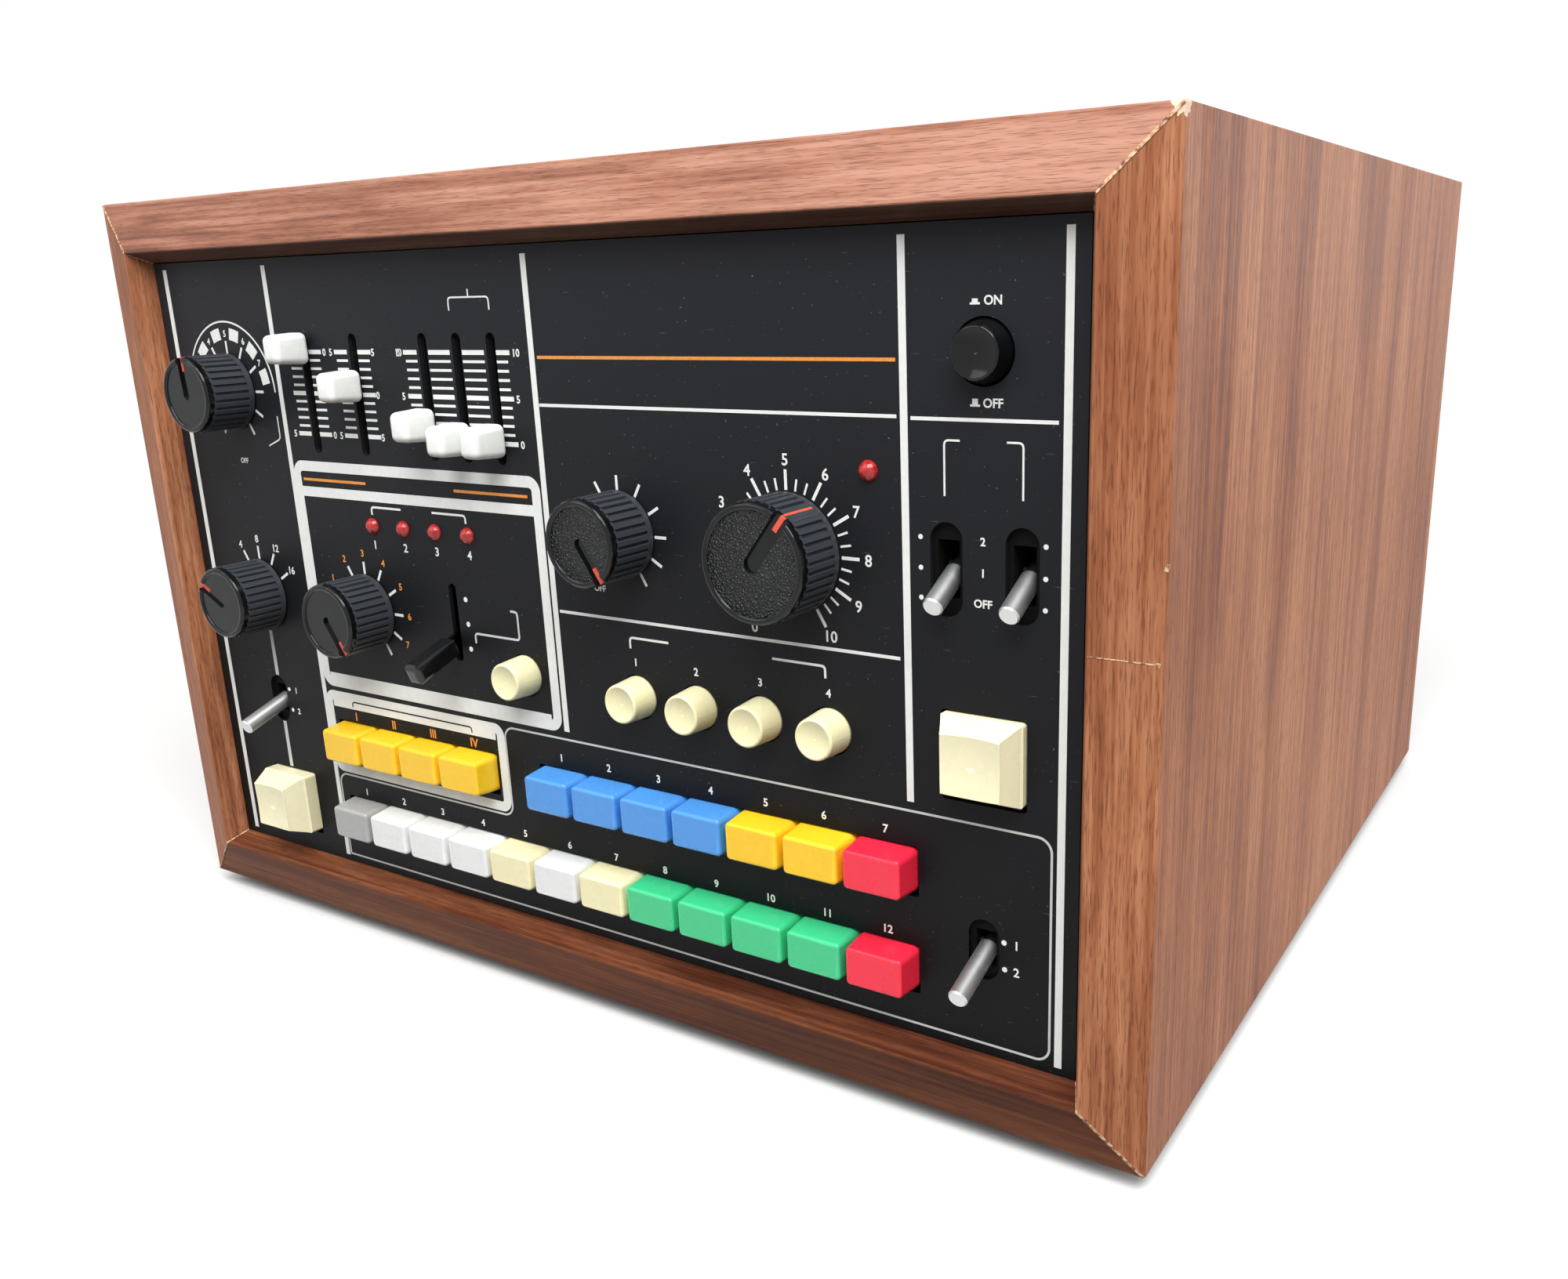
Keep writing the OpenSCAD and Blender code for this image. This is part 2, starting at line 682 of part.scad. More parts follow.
module chassis() color(steel) difference() {
    d = tray_y[1] - tray_y[0];
    translate([0, (tray_y[0] + tray_y[1]) / 2, 0]) {
        slab(tray_w, d, tray_z, tray_z + tray_t);
        for (side = [-1, 1]) translate([side * (tray_w - tray_t) / 2, 0, 0])
            slab(tray_t, d, tray_z, tray_z + tray_h);
    }
    for (x = [-foot_x, foot_x], y = foot_y)
        translate([x, y, 0]) rod(foot_screw_r + run_gap, tray_z - cut, tray_z + tray_t + cut);
    for (at = spacers) translate(at) rod(screw_r + run_gap, tray_z - cut, tray_z + tray_t + cut);
    for (side = [-1, 1]) translate([core_at[0] + side * core_foot_x, core_at[1], 0])
        rod(screw_r + run_gap, tray_z - cut, tray_z + tray_t + cut);
}

// ---- Inside ----

module chip(at) translate([at[0], at[1], card_z + card_t + seat_gap])
    slab(chip_size[0], chip_size[1], 0, chip_size[2]);

module capacitor(at, r, h) translate([at[0], at[1], card_z + card_t + seat_gap]) rod(r, 0, h);

// Flat card with holes for its spacers
module card(at, size) difference() {
    translate(at) slab(size[0], size[1], card_z, card_z + card_t);
    for (hole = spacer_places(at, size))
        translate(hole) rod(screw_r + run_gap, card_z - cut, card_z + card_t + cut);
}

module circuit_boards() {
    color(card_green) {
        on_panel() difference() {
            slab(
                inner_w - 2 * card_margin, inner_h - 2 * card_edge, card_front - card_t, card_front
            );
            for (at = pillars) translate(at)
                rod(screw_r + run_gap, card_front - card_t - cut, card_front + cut);
        }
        card(main_card_at, main_card);
        card(supply_card_at, supply_card);
    }
    color(black) {
        for (i = [0 : 3], j = [0 : 2]) chip(
            main_card_at - main_card / 2 + chip_first + [i * chip_pitch[0], j * chip_pitch[1]]
        );
        for (i = [-1 : 1]) capacitor(supply_card_at + [i * 22, 0], 8, 25);
        for (i = [-1.5 : 1.5])
            capacitor(main_card_at + [main_card_w / 2 - 17, i * 24], smoothing[0], smoothing[1]);
    }
    color(grey) flat_cable();
}

// Flat cable from the middle of the front card down and back to the main card
module flat_cable() {
    card_back_y = panel_y + board_depth + card_t + seat_gap;
    turn_y = card_back_y + 14;
    main_front_y = main_card_at[1] - main_card_d / 2 + 12;
    plug_z = card_z + card_t + seat_gap;
    low_z = plug_z + ribbon_plug - 1;
    high_z = middle_z - 40;
    translate([main_card_at[0] - ribbon_w / 2, 0, 0]) {
        translate([0, card_back_y, high_z]) cube([ribbon_w, turn_y - card_back_y, ribbon_t]);
        translate([0, turn_y - ribbon_t, low_z]) cube([ribbon_w, ribbon_t, high_z - low_z + ribbon_t]);
        translate([0, turn_y - ribbon_t, low_z]) cube([ribbon_w, main_front_y - turn_y + 2, ribbon_t]);
        translate([0, main_front_y, plug_z]) cube([ribbon_w, 5, ribbon_plug]);
    }
}

module power_transformer() translate([core_at[0], core_at[1], tray_z + tray_t + seat_gap]) {
    color(steel) difference() {
        union() {
            slab(core_w, core_d, 0, core_h);
            slab(core_w + 2 * core_foot, 14, 0, core_foot_t);
        }
        for (side = [-1, 1]) translate([side * core_foot_x, 0, 0])
            rod(screw_r + run_gap, -cut, core_foot_t + cut);
        slab(core_w - 2 * core_leg, core_d + 2 * cut, core_leg, core_h - core_leg);
    }
    winding = core_leg + core_gap;
    color(amber) slab(core_w - 2 * winding, core_d + 16, winding, core_h - winding);
}

// Round lamp: a domed lens in the panel's hole, a collar behind it and two wires
module indicator_leds() color(red) for (at = lamps) on_panel(at) {
    ball = (lamp_r * lamp_r + lamp_h * lamp_h) / (2 * lamp_h);
    top = asin(lamp_r / ball);
    rotate_extrude($fn = round_fn) polygon(concat(
        [[0, -6], [lamp_r, -6]],
        [for (i = [0 : 8]) let (a = top * (1 - i / 8))
            [ball * sin(a), lamp_h - ball + ball * cos(a)]]
    ));
    rod(lamp_r + 0.8, body_front - 1, body_front);
    for (side = [-1, 1]) translate([side * 1.27, 0, 0]) rod(0.3, card_front + seat_gap, -5);
}

// Body of a rotary control: a round can, its threaded bushing and three lugs
module rotary_bodies() color(steel) for (at = dials) on_panel(at) difference() {
    union() {
        rod(can_r, body_front - can_h, body_front);
        rod(bushing_r, body_front - 1, bushing_h);
        for (i = [-1 : 1]) translate([i * 5, -can_r, 0])
            slab(1.6, 10, body_front - 4, body_front - 3.4);
    }
    rod(shaft_r + run_gap, body_front - can_h + can_back, bushing_h + cut);
}

// Push switch with a square channel for its plunger
module push_switch_bodies() color(grey) for (at = buttons) on_panel(at) difference() {
    slab(switch_side, switch_side, card_front + seat_gap, switch_top);
    slab(plunger + 2 * slip_gap, plunger + 2 * slip_gap, switch_floor, switch_top + cut);
}

module slide_pot_bodies() color(steel) for (x = slide_x) on_panel([x, slide_z]) difference() {
    slab(slide_body_w, slide_channel + 2 * slide_end, body_front - slide_body, body_front);
    slab(blade_t + 2 * slip_gap, slide_channel, slide_floor, body_front + cut);
}

// Toggle body with its front at z1: cheeks with pin bores, and room for the lever to swing
module toggle_body(pivot, tilt, z0, z1, lever_w, lever_l, size) difference() {
    room = (pivot + z1) * tan(tilt) + lever_l / (2 * cos(tilt)) + 1;
    low = sqrt(pow(lever_l / 2, 2) + pow(toggle_below, 2)) + slip_gap;
    slab(size[0], size[1], z0, z1);
    slab(lever_w + 2 * slip_gap, 2 * max(room, low), -pivot - low, z1 + cut);
    translate([0, 0, -pivot]) rotate([0, 90, 0])
        rod(pin_r + run_gap, 0.6 - size[0] / 2, size[0] / 2 - 0.6);
}

module round_lever_body(at, pivot, tilt) on_panel(at) toggle_body(
    pivot, tilt, -pivot - toggle_back, body_front, 2 * toggle_r, 2 * toggle_r, toggle_size
);

module toggle_switch_bodies() color(steel) {
    for (at = [fade_in_at, fade_out_at]) round_lever_body(at, fade_pivot, fade_tilt);
    for (at = [rhythm_at, fill_toggle_at]) round_lever_body(at, ab_pivot, ab_tilt);
    on_panel(mode_at) toggle_body(
        mode_pivot, mode_tilt, card_front + seat_gap, mode_body_h - mode_pivot,
        mode_blade_w, mode_blade_w, mode_body
    );
}

// Sockets, fuse holder and cord gland on the rear panel
module rear_sockets() {
    color(black) for (at = jacks) on_rear(at) difference() {
        union() {
            slab(jack_body[0], jack_body[1], body_front - jack_deep - jack_neck, body_front);
            rod(jack_neck_r, -plate_t - 1, jack_neck);
        }
        rod(jack_r, jack_neck - jack_deep, jack_neck + cut);
    }
    color(black) on_rear(fuse_at) {
        rod(fuse_r, -fuse_l, 1);
        rod(fuse_r + 1.5, seat_gap, fuse_cap);
    }
    color(black) on_rear(gland_at) difference() {
        union() {
            rod(gland_r, -gland_l, 1);
            rod(gland_r + 2, seat_gap, gland_rim);
            rod(gland_r + 2, -plate_t - gland_grip, body_front);
        }
        rod(gland_bore, -gland_l - cut, gland_rim + cut);
    }
}

// ---- Screws, nuts, pillars and spacers ----

// Pan-head screw: its head stands on z = 0, its shank goes down by `long`
module screw(r, head_r, head_h, long) {
    rod(r, -long, head_h / 2);
    rod(head_r, 0, head_h);
}

module nut(r, bore, h) difference() {
    hex(r, seat_gap, h);
    rod(bore + run_gap, -cut, h + cut);
}

module fasteners() color(steel) {
    for (at = pillars) on_panel(at) {
        difference() {
            rod(pillar_r, card_front + seat_gap, body_front);
            rod(screw_r + run_gap, card_front, card_front + screw_bite);
        }
        translate([0, 0, card_front - card_t - seat_gap]) rotate([180, 0, 0])
            screw(screw_r, screw_head_r, screw_head_h, card_t + screw_bite - 1);
    }
    for (at = dials) on_panel(at) nut(nut_r, bushing_r, nut_h);
    for (at = jacks) on_rear(at) nut(jack_nut_r, jack_neck_r, jack_neck - 0.6);
    for (x = flange_screws_x, side = [0, 180])
        translate([x, panel_y + flange - 5, middle_z]) rotate([0, side, 0])
            translate([0, 0, inner_h / 2 - panel_gap - plate_t - seat_gap]) rotate([180, 0, 0])
                screw(screw_r, screw_head_r, screw_head_h, screw_bite);
    for (side = [-1, 1], z = rear_screws_z) on_rear([side * rear_screw_x, z])
        translate([0, 0, seat_gap]) screw(screw_r, screw_head_r, screw_head_h, screw_bite);
    for (x = [-foot_x, foot_x], y = foot_y) translate([x, y, 0]) {
        translate([0, 0, foot_h / 2 - seat_gap]) rotate([180, 0, 0])
            screw(foot_screw_r, foot_head_r, foot_head_h, tray_z + tray_t + 3.4 - foot_h / 2);
        translate([0, 0, tray_z + tray_t]) nut(foot_nut_r, foot_screw_r, 3);
    }
    for (at = spacers) translate(at) {
        rod(pillar_r, tray_z + tray_t + seat_gap, card_z - seat_gap);
        rod(screw_r, tray_z + tray_t / 2, card_z + card_t + 1.5);
    }
    for (side = [-1, 1]) translate([
        core_at[0] + side * core_foot_x, core_at[1], tray_z + tray_t + core_foot_t + 2 * seat_gap
    ]) screw(screw_r, screw_head_r, screw_head_h, screw_bite);
}

// ---- Knobs ----

// Toothed outline: teeth of radius r, valleys deep mm lower
function fluted(r, deep, count) = [
    for (i = [0 : count - 1], k = [0 : 3])
        let (a = (i + [0, 0.5, 0.62, 0.88][k]) * 360 / count)
            (k < 2 ? r : r - deep) * [cos(a), sin(a)]
];

// Knob with a skirt ring, flutes, a smooth ring round a sunken face and a pointer groove that
// runs out over a plain land between the flutes, on its shaft
module knob(r, h, flutes, groove) {
    crown = r - flute_stand;
    half = ring_w / 2;
    face = h - face_deep;
    bed = face - groove_deep;
    flute_end = h - flute_drop;
    color(black) difference() {
        union() {
            rod(r, knob_lift, knob_skirt);
            translate([0, 0, knob_skirt - 0.2]) linear_extrude(flute_end - knob_skirt + 0.2) {
                polygon(fluted(r - 0.1, flute_deep, flutes));
                translate([-groove / 2, r / 2]) square([groove, r / 2 - 0.2]);
            }
            rotate_extrude($fn = 96) polygon(concat(
                [[0, flute_end - 1], [crown, flute_end - 1]],
                [for (a = [0 : 15 : 90]) [crown - half + half * cos(a), h - half + half * sin(a)]],
                [for (a = [105 : 15 : 180])
                    [crown - half + half * cos(a), face + face_deep * sin(a)]],
                [[0, face]]
            ));
        }
        rod(groove / 2, bed, h + cut);
        translate([0, r / 2, 0]) slab(groove, r, bed, h + cut);
        rod(nut_r + 1, 0, nut_room);
        rod(shaft_r + seat_gap, 0, h - shaft_wall);
    }
    color(steel)
        rod(shaft_r, body_front - can_h + can_back + slip_gap, h - shaft_wall - seat_gap);
}

module small_knob(at, turn) on_panel(at, turn)
    knob(knob_r, knob_h, knob_flutes, groove_w);

module variation_knob() small_knob(variation_at, variation_turn);
module measure_knob() small_knob(measure_at, measure_turn);
module instrument_knob() small_knob(instrument_at, instrument_turn);
module accent_knob() small_knob(accent_at, accent_turn);
module tempo_knob() on_panel(tempo_at, tempo_turn)
    knob(tempo_r, tempo_h, tempo_flutes, tempo_groove_w);

// ---- Sliders ----

// Slider cap on its blade; `set` runs from 0 at the bottom of the travel to 1 at the top
module slider(x, set) on_panel([x, slide_z + (set - 0.5) * slide_travel]) {
    socket = cap_lift + 5;
    color(white) difference() {
        union() {
            translate([0, 0, cap_lift]) linear_extrude(cap_foot)
                rounded(cap_w + 2 * cap_rim, cap_l + 2 * cap_rim, 3.4);
            intersection() {
                translate([0, 0, cap_lift]) linear_extrude(cap_top - cap_lift)
                    rounded(cap_w, cap_l, 2.8);
                along_y(cap_l + cut) cap_side(cap_w, cap_w - 0.3, cap_lift, cap_top, 2);
                along_x(cap_w + cut) cap_side(cap_l, cap_l - 0.5, cap_lift, cap_top, 2);
            }
        }
        slab(blade_t + 2 * seat_gap, blade_w + 2 * seat_gap, 0, socket + seat_gap);
    }
    color(steel) slab(blade_t, blade_w, slide_floor + slip_gap, socket);
}

module volume_slider() slider(slide_x[0], slide_set[0]);
module balance_slider() slider(slide_x[1], slide_set[1]);
module metallic_slider() slider(slide_x[2], slide_set[2]);
module tambourine_slider() slider(slide_x[3], slide_set[3]);
module guiro_slider() slider(slide_x[4], slide_set[4]);

// ---- Levers ----

// Turned lever with a slim root on its pivot pin, tipped down by `tilt`
module toggle(at, pivot, tilt, root, long) color(steel) on_panel(at) translate([0, 0, -pivot])
    rotate([tilt, 0, 0]) {
        rotate_extrude($fn = round_fn) polygon([
            [0, -toggle_below], [root_r - 0.4, -toggle_below], [root_r, 0.4 - toggle_below],
            [root_r, root], [toggle_r - 0.3, root], [toggle_r, root + 0.3],
            [toggle_r, long - 0.5], [toggle_r - 0.4, long], [0, long]
        ]);
        rotate([0, 90, 0]) rod(pin_r, -toggle_r - toggle_cheek + 1, toggle_r + toggle_cheek - 1);
    }

module fade_in_toggle() toggle(fade_in_at, fade_pivot, fade_tilt, fade_root, fade_l);
module fade_out_toggle() toggle(fade_out_at, fade_pivot, fade_tilt, fade_root, fade_l);
module rhythm_toggle() toggle(rhythm_at, ab_pivot, ab_tilt, ab_root, ab_l);
module fill_toggle() toggle(fill_toggle_at, ab_pivot, ab_tilt, ab_root, ab_l);

module mode_lever() on_panel(mode_at) translate([0, 0, -mode_pivot]) rotate([mode_tilt, 0, 0]) {
    cap_from = mode_l - mode_cap_l;
    socket = cap_from + 6;
    color(black) difference() {
        intersection() {
            translate([0, 0, cap_from]) linear_extrude(mode_cap_l)
                rounded(mode_cap_w, mode_cap_t, 2.3);
            along_y(mode_cap_t + cut)
                cap_side(mode_cap_w - 0.6, mode_cap_w, cap_from, mode_l, mode_cap_edge);
            along_x(mode_cap_w + cut)
                cap_side(mode_cap_foot, mode_cap_t, cap_from, mode_l, mode_cap_edge);
        }
        slab(
            mode_blade_t + 2 * seat_gap, mode_blade_w - 2 + 2 * seat_gap,
            cap_from - cut, socket + seat_gap
        );
    }
    color(brass) {
        slab(mode_blade_t, mode_blade_w, 0, cap_from - seat_gap);
        slab(mode_blade_t, mode_blade_w - 2, cap_from - cut, socket);
        rotate([0, 90, 0]) {
            rod(toggle_below, -mode_blade_w / 2, mode_blade_w / 2);
            rod(pin_r, 1 - mode_body[0] / 2, mode_body[0] / 2 - 1);
        }
    }
}

// ---- Buttons ----

// Square plunger of a button, from its cap down into its switch
module plunger_rod() color(grey)
    slab(plunger, plunger, plunger_end, socket_deep - cap_below - seat_gap);

module plunger_socket()
    slab(plunger + 2 * seat_gap, plunger + 2 * seat_gap, -cap_below - cut, socket_deep - cap_below);

// Round button: straight below the panel, narrowing to a dished face
module round_button(at, r, taper, h, tint) on_panel(at) {
    edge = 0.7;
    face = r - taper;
    color(tint) difference() {
        rotate_extrude($fn = 96) polygon(concat(
            [[0, -cap_below], [r, -cap_below], [r, 0]], round_edge(face, h, edge), [[0, h]]
        ));
        dish(face - edge, 1, h);
        plunger_socket();
    }
    plunger_rod();
}

// Half of the upright profile of a rhythm button, out to half width `half` at its foot
function button_side(half) = concat(
    [[0, -cap_below], [half, -cap_below], [half, 0]],
    round_edge(half - button_lean, button_h, button_edge), [[0, button_h]]
);

// Button of the rhythm rows: an oblong cap that narrows to its face, with round edges. Cones
// round the corners, and two bars with the same profile fill the middle.
module row_button(at, tint) on_panel(at) {
    w = button_w / 2 - button_corner;
    l = button_l / 2 - button_corner;
    color(tint) difference() {
        union() {
            for (sx = [-1, 1], sy = [-1, 1]) translate([sx * w, sy * l, 0])
                rotate_extrude($fn = round_fn) polygon(button_side(button_corner));
            for (turn = [0, 180]) rotate([0, 0, turn]) {
                along_y(2 * l) polygon(button_side(button_w / 2));
                along_x(2 * w) polygon(button_side(button_l / 2));
            }
        }
        plunger_socket();
    }
    plunger_rod();
}

// Large key: a skirt, sloping flanks and a dished face
module large_key(at, skirt, h) on_panel(at) {
    color(cream) difference() {
        intersection() {
            translate([0, 0, -cap_below]) linear_extrude(h + cap_below) rounded(large_w, large_l, 1);
            along_y(large_l + cut) key_side(large_w, large_face_w, -cap_below, skirt, h);
            along_x(large_w + cut) key_side(large_l, large_face_l, -cap_below, skirt, h);
        }
        dish(norm([large_face_w, large_face_l]) / 2, large_scoop, h);
        plunger_socket();
    }
    plunger_rod();
}

module power_button() round_button(power_at, power_r, power_taper, power_h, black);
module clear_button() round_button(clear_at, round_r, round_taper, clear_h, cream);
module voice_button(i) round_button(voices[i], round_r, round_taper, round_h, cream);
module start_button() large_key(start_at, start_skirt, start_h);
module fill_button() large_key(fill_at, fill_skirt, fill_h);
module program_button(i) row_button(programs[i], amber);
module upper_button(i) row_button(uppers[i], upper_colors[i]);
module lower_button(i) row_button(lowers[i], lower_colors[i]);

cabinet_boards();
front_panel();
chassis();
rear_panel();
rubber_feet();
circuit_boards();
power_transformer();
indicator_leds();
fasteners();
push_switch_bodies();
toggle_switch_bodies();
rotary_bodies();
slide_pot_bodies();
rear_sockets();
variation_knob();
measure_knob();
instrument_knob();
accent_knob();
tempo_knob();
volume_slider();
balance_slider();
metallic_slider();
tambourine_slider();
guiro_slider();
mode_lever();
fade_in_toggle();
fade_out_toggle();
rhythm_toggle();
fill_toggle();
power_button();
start_button();
fill_button();
clear_button();
for (i = [0 : 3]) voice_button(i);
for (i = [0 : program_count - 1])
    program_button(i);
for (i = [0 : upper_count - 1])
    upper_button(i);
for (i = [0 : lower_count - 1])
    lower_button(i);
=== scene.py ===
# %% [markdown]
# # A table-top drum machine
# The case is four mitred boards covered with walnut-print vinyl. They frame a black steel panel
# with dials, sliders, levers, lamps and coloured push buttons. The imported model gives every
# solid its place. This lesson adds the vinyl boards, the silk-screen printing and the finishes.
# All lengths are in metres: X runs to the right, Z up, and the panel faces -Y.

# %% Load the model
import itertools
import math

import bmesh
import bpy
from mathutils import Matrix, Vector


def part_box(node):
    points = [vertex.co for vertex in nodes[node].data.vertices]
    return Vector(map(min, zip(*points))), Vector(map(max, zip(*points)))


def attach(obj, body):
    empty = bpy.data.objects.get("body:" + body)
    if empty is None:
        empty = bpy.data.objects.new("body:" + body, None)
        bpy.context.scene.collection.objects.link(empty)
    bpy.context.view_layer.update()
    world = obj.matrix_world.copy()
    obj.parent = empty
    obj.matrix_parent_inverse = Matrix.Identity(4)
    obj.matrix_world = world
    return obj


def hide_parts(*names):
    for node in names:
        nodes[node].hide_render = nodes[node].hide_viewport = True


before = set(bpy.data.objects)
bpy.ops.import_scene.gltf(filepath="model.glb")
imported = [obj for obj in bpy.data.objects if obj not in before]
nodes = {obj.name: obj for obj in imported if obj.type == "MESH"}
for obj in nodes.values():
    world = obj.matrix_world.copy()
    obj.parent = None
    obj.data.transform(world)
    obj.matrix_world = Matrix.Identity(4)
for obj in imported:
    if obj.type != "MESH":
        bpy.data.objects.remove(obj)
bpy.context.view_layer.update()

# %% [markdown]
# ## Places
# The printing lies on the panel, so its places are counted in millimetres from the panel's
# middle. The panel's box gives that middle and the plane of its front.

# %% Measures from the frame
MM = 0.001
panel_low, panel_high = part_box("front_panel")
FRONT = panel_low.y
MIDDLE_Z = (panel_low.z + panel_high.z) / 2
case_low, case_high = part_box("cabinet_boards")
print("panel front at y", round(FRONT, 5), "middle at z", round(MIDDLE_Z, 5))


def on_panel(x, z, out=0.0):
    """A point of the panel, in millimetres from its middle and out from its front."""
    return Vector((x * MM, FRONT - out * MM, MIDDLE_Z + z * MM))


def deselect():
    """Leaves nothing selected, so that the next operator acts on the new piece alone."""
    if bpy.context.object and bpy.context.object.mode == "EDIT":
        bpy.ops.object.mode_set(mode="OBJECT")
    bpy.ops.object.select_all(action="DESELECT")


def start_mesh():
    """Starts an empty mesh in edit mode, ready to take strips, bars and dots."""
    deselect()
    bpy.ops.mesh.primitive_plane_add(size=MM)
    bpy.ops.object.mode_set(mode="EDIT")
    bpy.ops.mesh.delete(type="VERT")


def end_mesh(name, *materials):
    """Leaves edit mode and gives the new piece its name and its materials."""
    bpy.ops.object.mode_set(mode="OBJECT")
    piece = bpy.context.object
    piece.name = name
    for material in materials:
        piece.data.materials.append(material)
    return piece


# %% [markdown]
# ## Camera
# The camera stands to the right and a little above the middle of the panel. It is below the top
# edge of the case, so the top board shows only its front. A slight roll and lens shift frame it.

# %% Camera
CAMERA_AT = (0.29124, -0.45274, 0.22904)
AZIMUTH, ELEVATION, ROLL = (math.radians(a) for a in (32.20, 16.23, -1.66))

back = Vector((
    math.sin(AZIMUTH) * math.cos(ELEVATION),
    -math.cos(AZIMUTH) * math.cos(ELEVATION),
    math.sin(ELEVATION),
))
side = (-back).cross(Vector((0, 0, 1))).normalized()
upward = side.cross(-back)
right = side * math.cos(ROLL) + upward * math.sin(ROLL)
top = upward * math.cos(ROLL) - side * math.sin(ROLL)
camera_data = bpy.data.cameras.new("camera")
camera_data.lens = 30.274
camera_data.sensor_width = 36
camera_data.shift_x = -0.0475
camera_data.shift_y = 0.01724
camera_data.clip_start = 0.01
camera = bpy.data.objects.new("camera", camera_data)
camera.matrix_world = (
    Matrix.Translation(CAMERA_AT) @ Matrix((right, top, back)).transposed().to_4x4()
)
bpy.context.scene.collection.objects.link(camera)
bpy.context.scene.camera = camera
bpy.context.scene.view_settings.view_transform = "Standard"
print("camera at", CAMERA_AT)

# %% [markdown]
# ## Nodes and colours
# Every finish is a small graph of shader nodes. One function adds a node with its settings, and
# fills its sockets with numbers, colours or links from other nodes. Colours are written as hex
# values, the way a picture program shows them, and one function turns them into the linear light
# that Blender calculates with. Another turns a real size into the scale of a pattern.

# %% Helpers for materials


def linear(code):
    """The linear colour of a hex value, with alpha."""
    parts = [int(code[i : i + 2], 16) / 255 for i in (1, 3, 5)]
    return [c / 12.92 if c <= 0.04045 else ((c + 0.055) / 1.055) ** 2.4 for c in parts] + [1]


def per(size):
    """The scale of a pattern whose marks are so many millimetres across."""
    return 1 / (size * MM)


def fill(tree, node, sockets):
    """Fills a node's sockets: a number or colour is set, another node's output is linked.

    A node on its own stands for its first output.
    """
    for name, value in dict(sockets).items():
        if isinstance(value, bpy.types.Node):
            value = value.outputs[0]
        if isinstance(value, bpy.types.NodeSocket):
            tree.links.new(value, node.inputs[name])
        else:
            node.inputs[name].default_value = value


def add(tree, kind, sockets=(), **settings):
    """Adds a node. Settings are its properties; a stops setting fills a colour ramp."""
    node = tree.nodes.new("ShaderNode" + kind)
    for name, value in settings.items():
        if name == "stops":
            ramp = node.color_ramp.elements
            while len(ramp) < len(value):
                ramp.new(0.5)
            for element, (place, colour) in zip(ramp, value):
                element.position, element.color = place, linear(colour)
        else:
            setattr(node, name, value)
    fill(tree, node, sockets)
    return node


def new_material(name):
    """An empty material: its tree, its surface shader and its Object coordinates."""
    material = bpy.data.materials.new(name)
    material.use_nodes = True
    tree = material.node_tree
    tree.nodes.clear()
    shader = add(tree, "BsdfPrincipled")
    add(tree, "OutputMaterial", {"Surface": shader})
    return material, tree, shader, add(tree, "TexCoord").outputs["Object"]


def drawn_out(tree, coords, across, along, axis, **sockets):
    """Noise whose marks are so many millimetres across, and so many along one axis."""
    scale = [per(across)] * 3
    scale[axis] = per(along)
    place = add(tree, "Mapping", {"Vector": coords, "Scale": scale})
    return add(tree, "TexNoise", {"Vector": place, "Scale": 1.0, **sockets})


print("half grey is", round(linear("#808080")[0], 3), "in linear light")

# %% [markdown]
# ## Studio
# A soft box above and to the right is the main light, and a weaker one fills from the left. A low
# lamp behind the case grazes its right side, which gives the vinyl a hazy sheen. The floor is
# pale. Far from the case it goes over into the white of the surroundings, which only the camera
# and reflections see, so the lamps stay at a plain level.

# %% Lamps
# Each row gives a lamp's name, place, width, height and power in watts.
LAMPS = [
    ("key_light", (0.48, -0.72, 1.2), 1.1, 0.8, 25.5),
    ("fill_light", (-0.75, -1.2, 1.1), 0.8, 0.8, 5.0),
    ("side_light", (1.1, 1.0, 0.4), 0.9, 0.5, 7.0),
]
AIM = Vector((0, -0.1, 0.12))
for name, place, width, height, power in LAMPS:
    lamp = bpy.data.lights.new(name, "AREA")
    lamp.shape, lamp.size, lamp.size_y, lamp.energy = "RECTANGLE", width, height, power
    stand = bpy.data.objects.new(name, lamp)
    stand.location = place
    stand.rotation_euler = (AIM - Vector(place)).to_track_quat("-Z", "Y").to_euler()
    bpy.context.scene.collection.objects.link(stand)
print("lamps:", [row[0] for row in LAMPS])

# %% World and floor
# The floor starts to turn white at the first distance from its middle and is white at the second.
SOFT_LIGHT = 0.48
FLOOR_RADIUS = 4
WHITE_FROM, WHITE_AT = 0.3, 0.7
world = bpy.data.worlds.new("studio")
world.use_nodes = True
bpy.context.scene.world = world
tree = world.node_tree
tree.nodes.clear()


def seen_directly(tree):
    """1 for rays from the camera, a mirror or glass, 0 for the soft light between surfaces."""
    path = add(tree, "LightPath").outputs
    both = add(tree, "Math", {0: path["Is Camera Ray"], 1: path["Is Glossy Ray"]},
               operation="MAXIMUM")
    return add(tree, "Math", {0: both, 1: path["Is Transmission Ray"]}, operation="MAXIMUM")


strength = add(tree, "MapRange", {"Value": seen_directly(tree), "To Min": SOFT_LIGHT})
glow = add(tree, "Background", {"Color": (1, 1, 1, 1), "Strength": strength})
add(tree, "OutputWorld", {"Surface": glow})

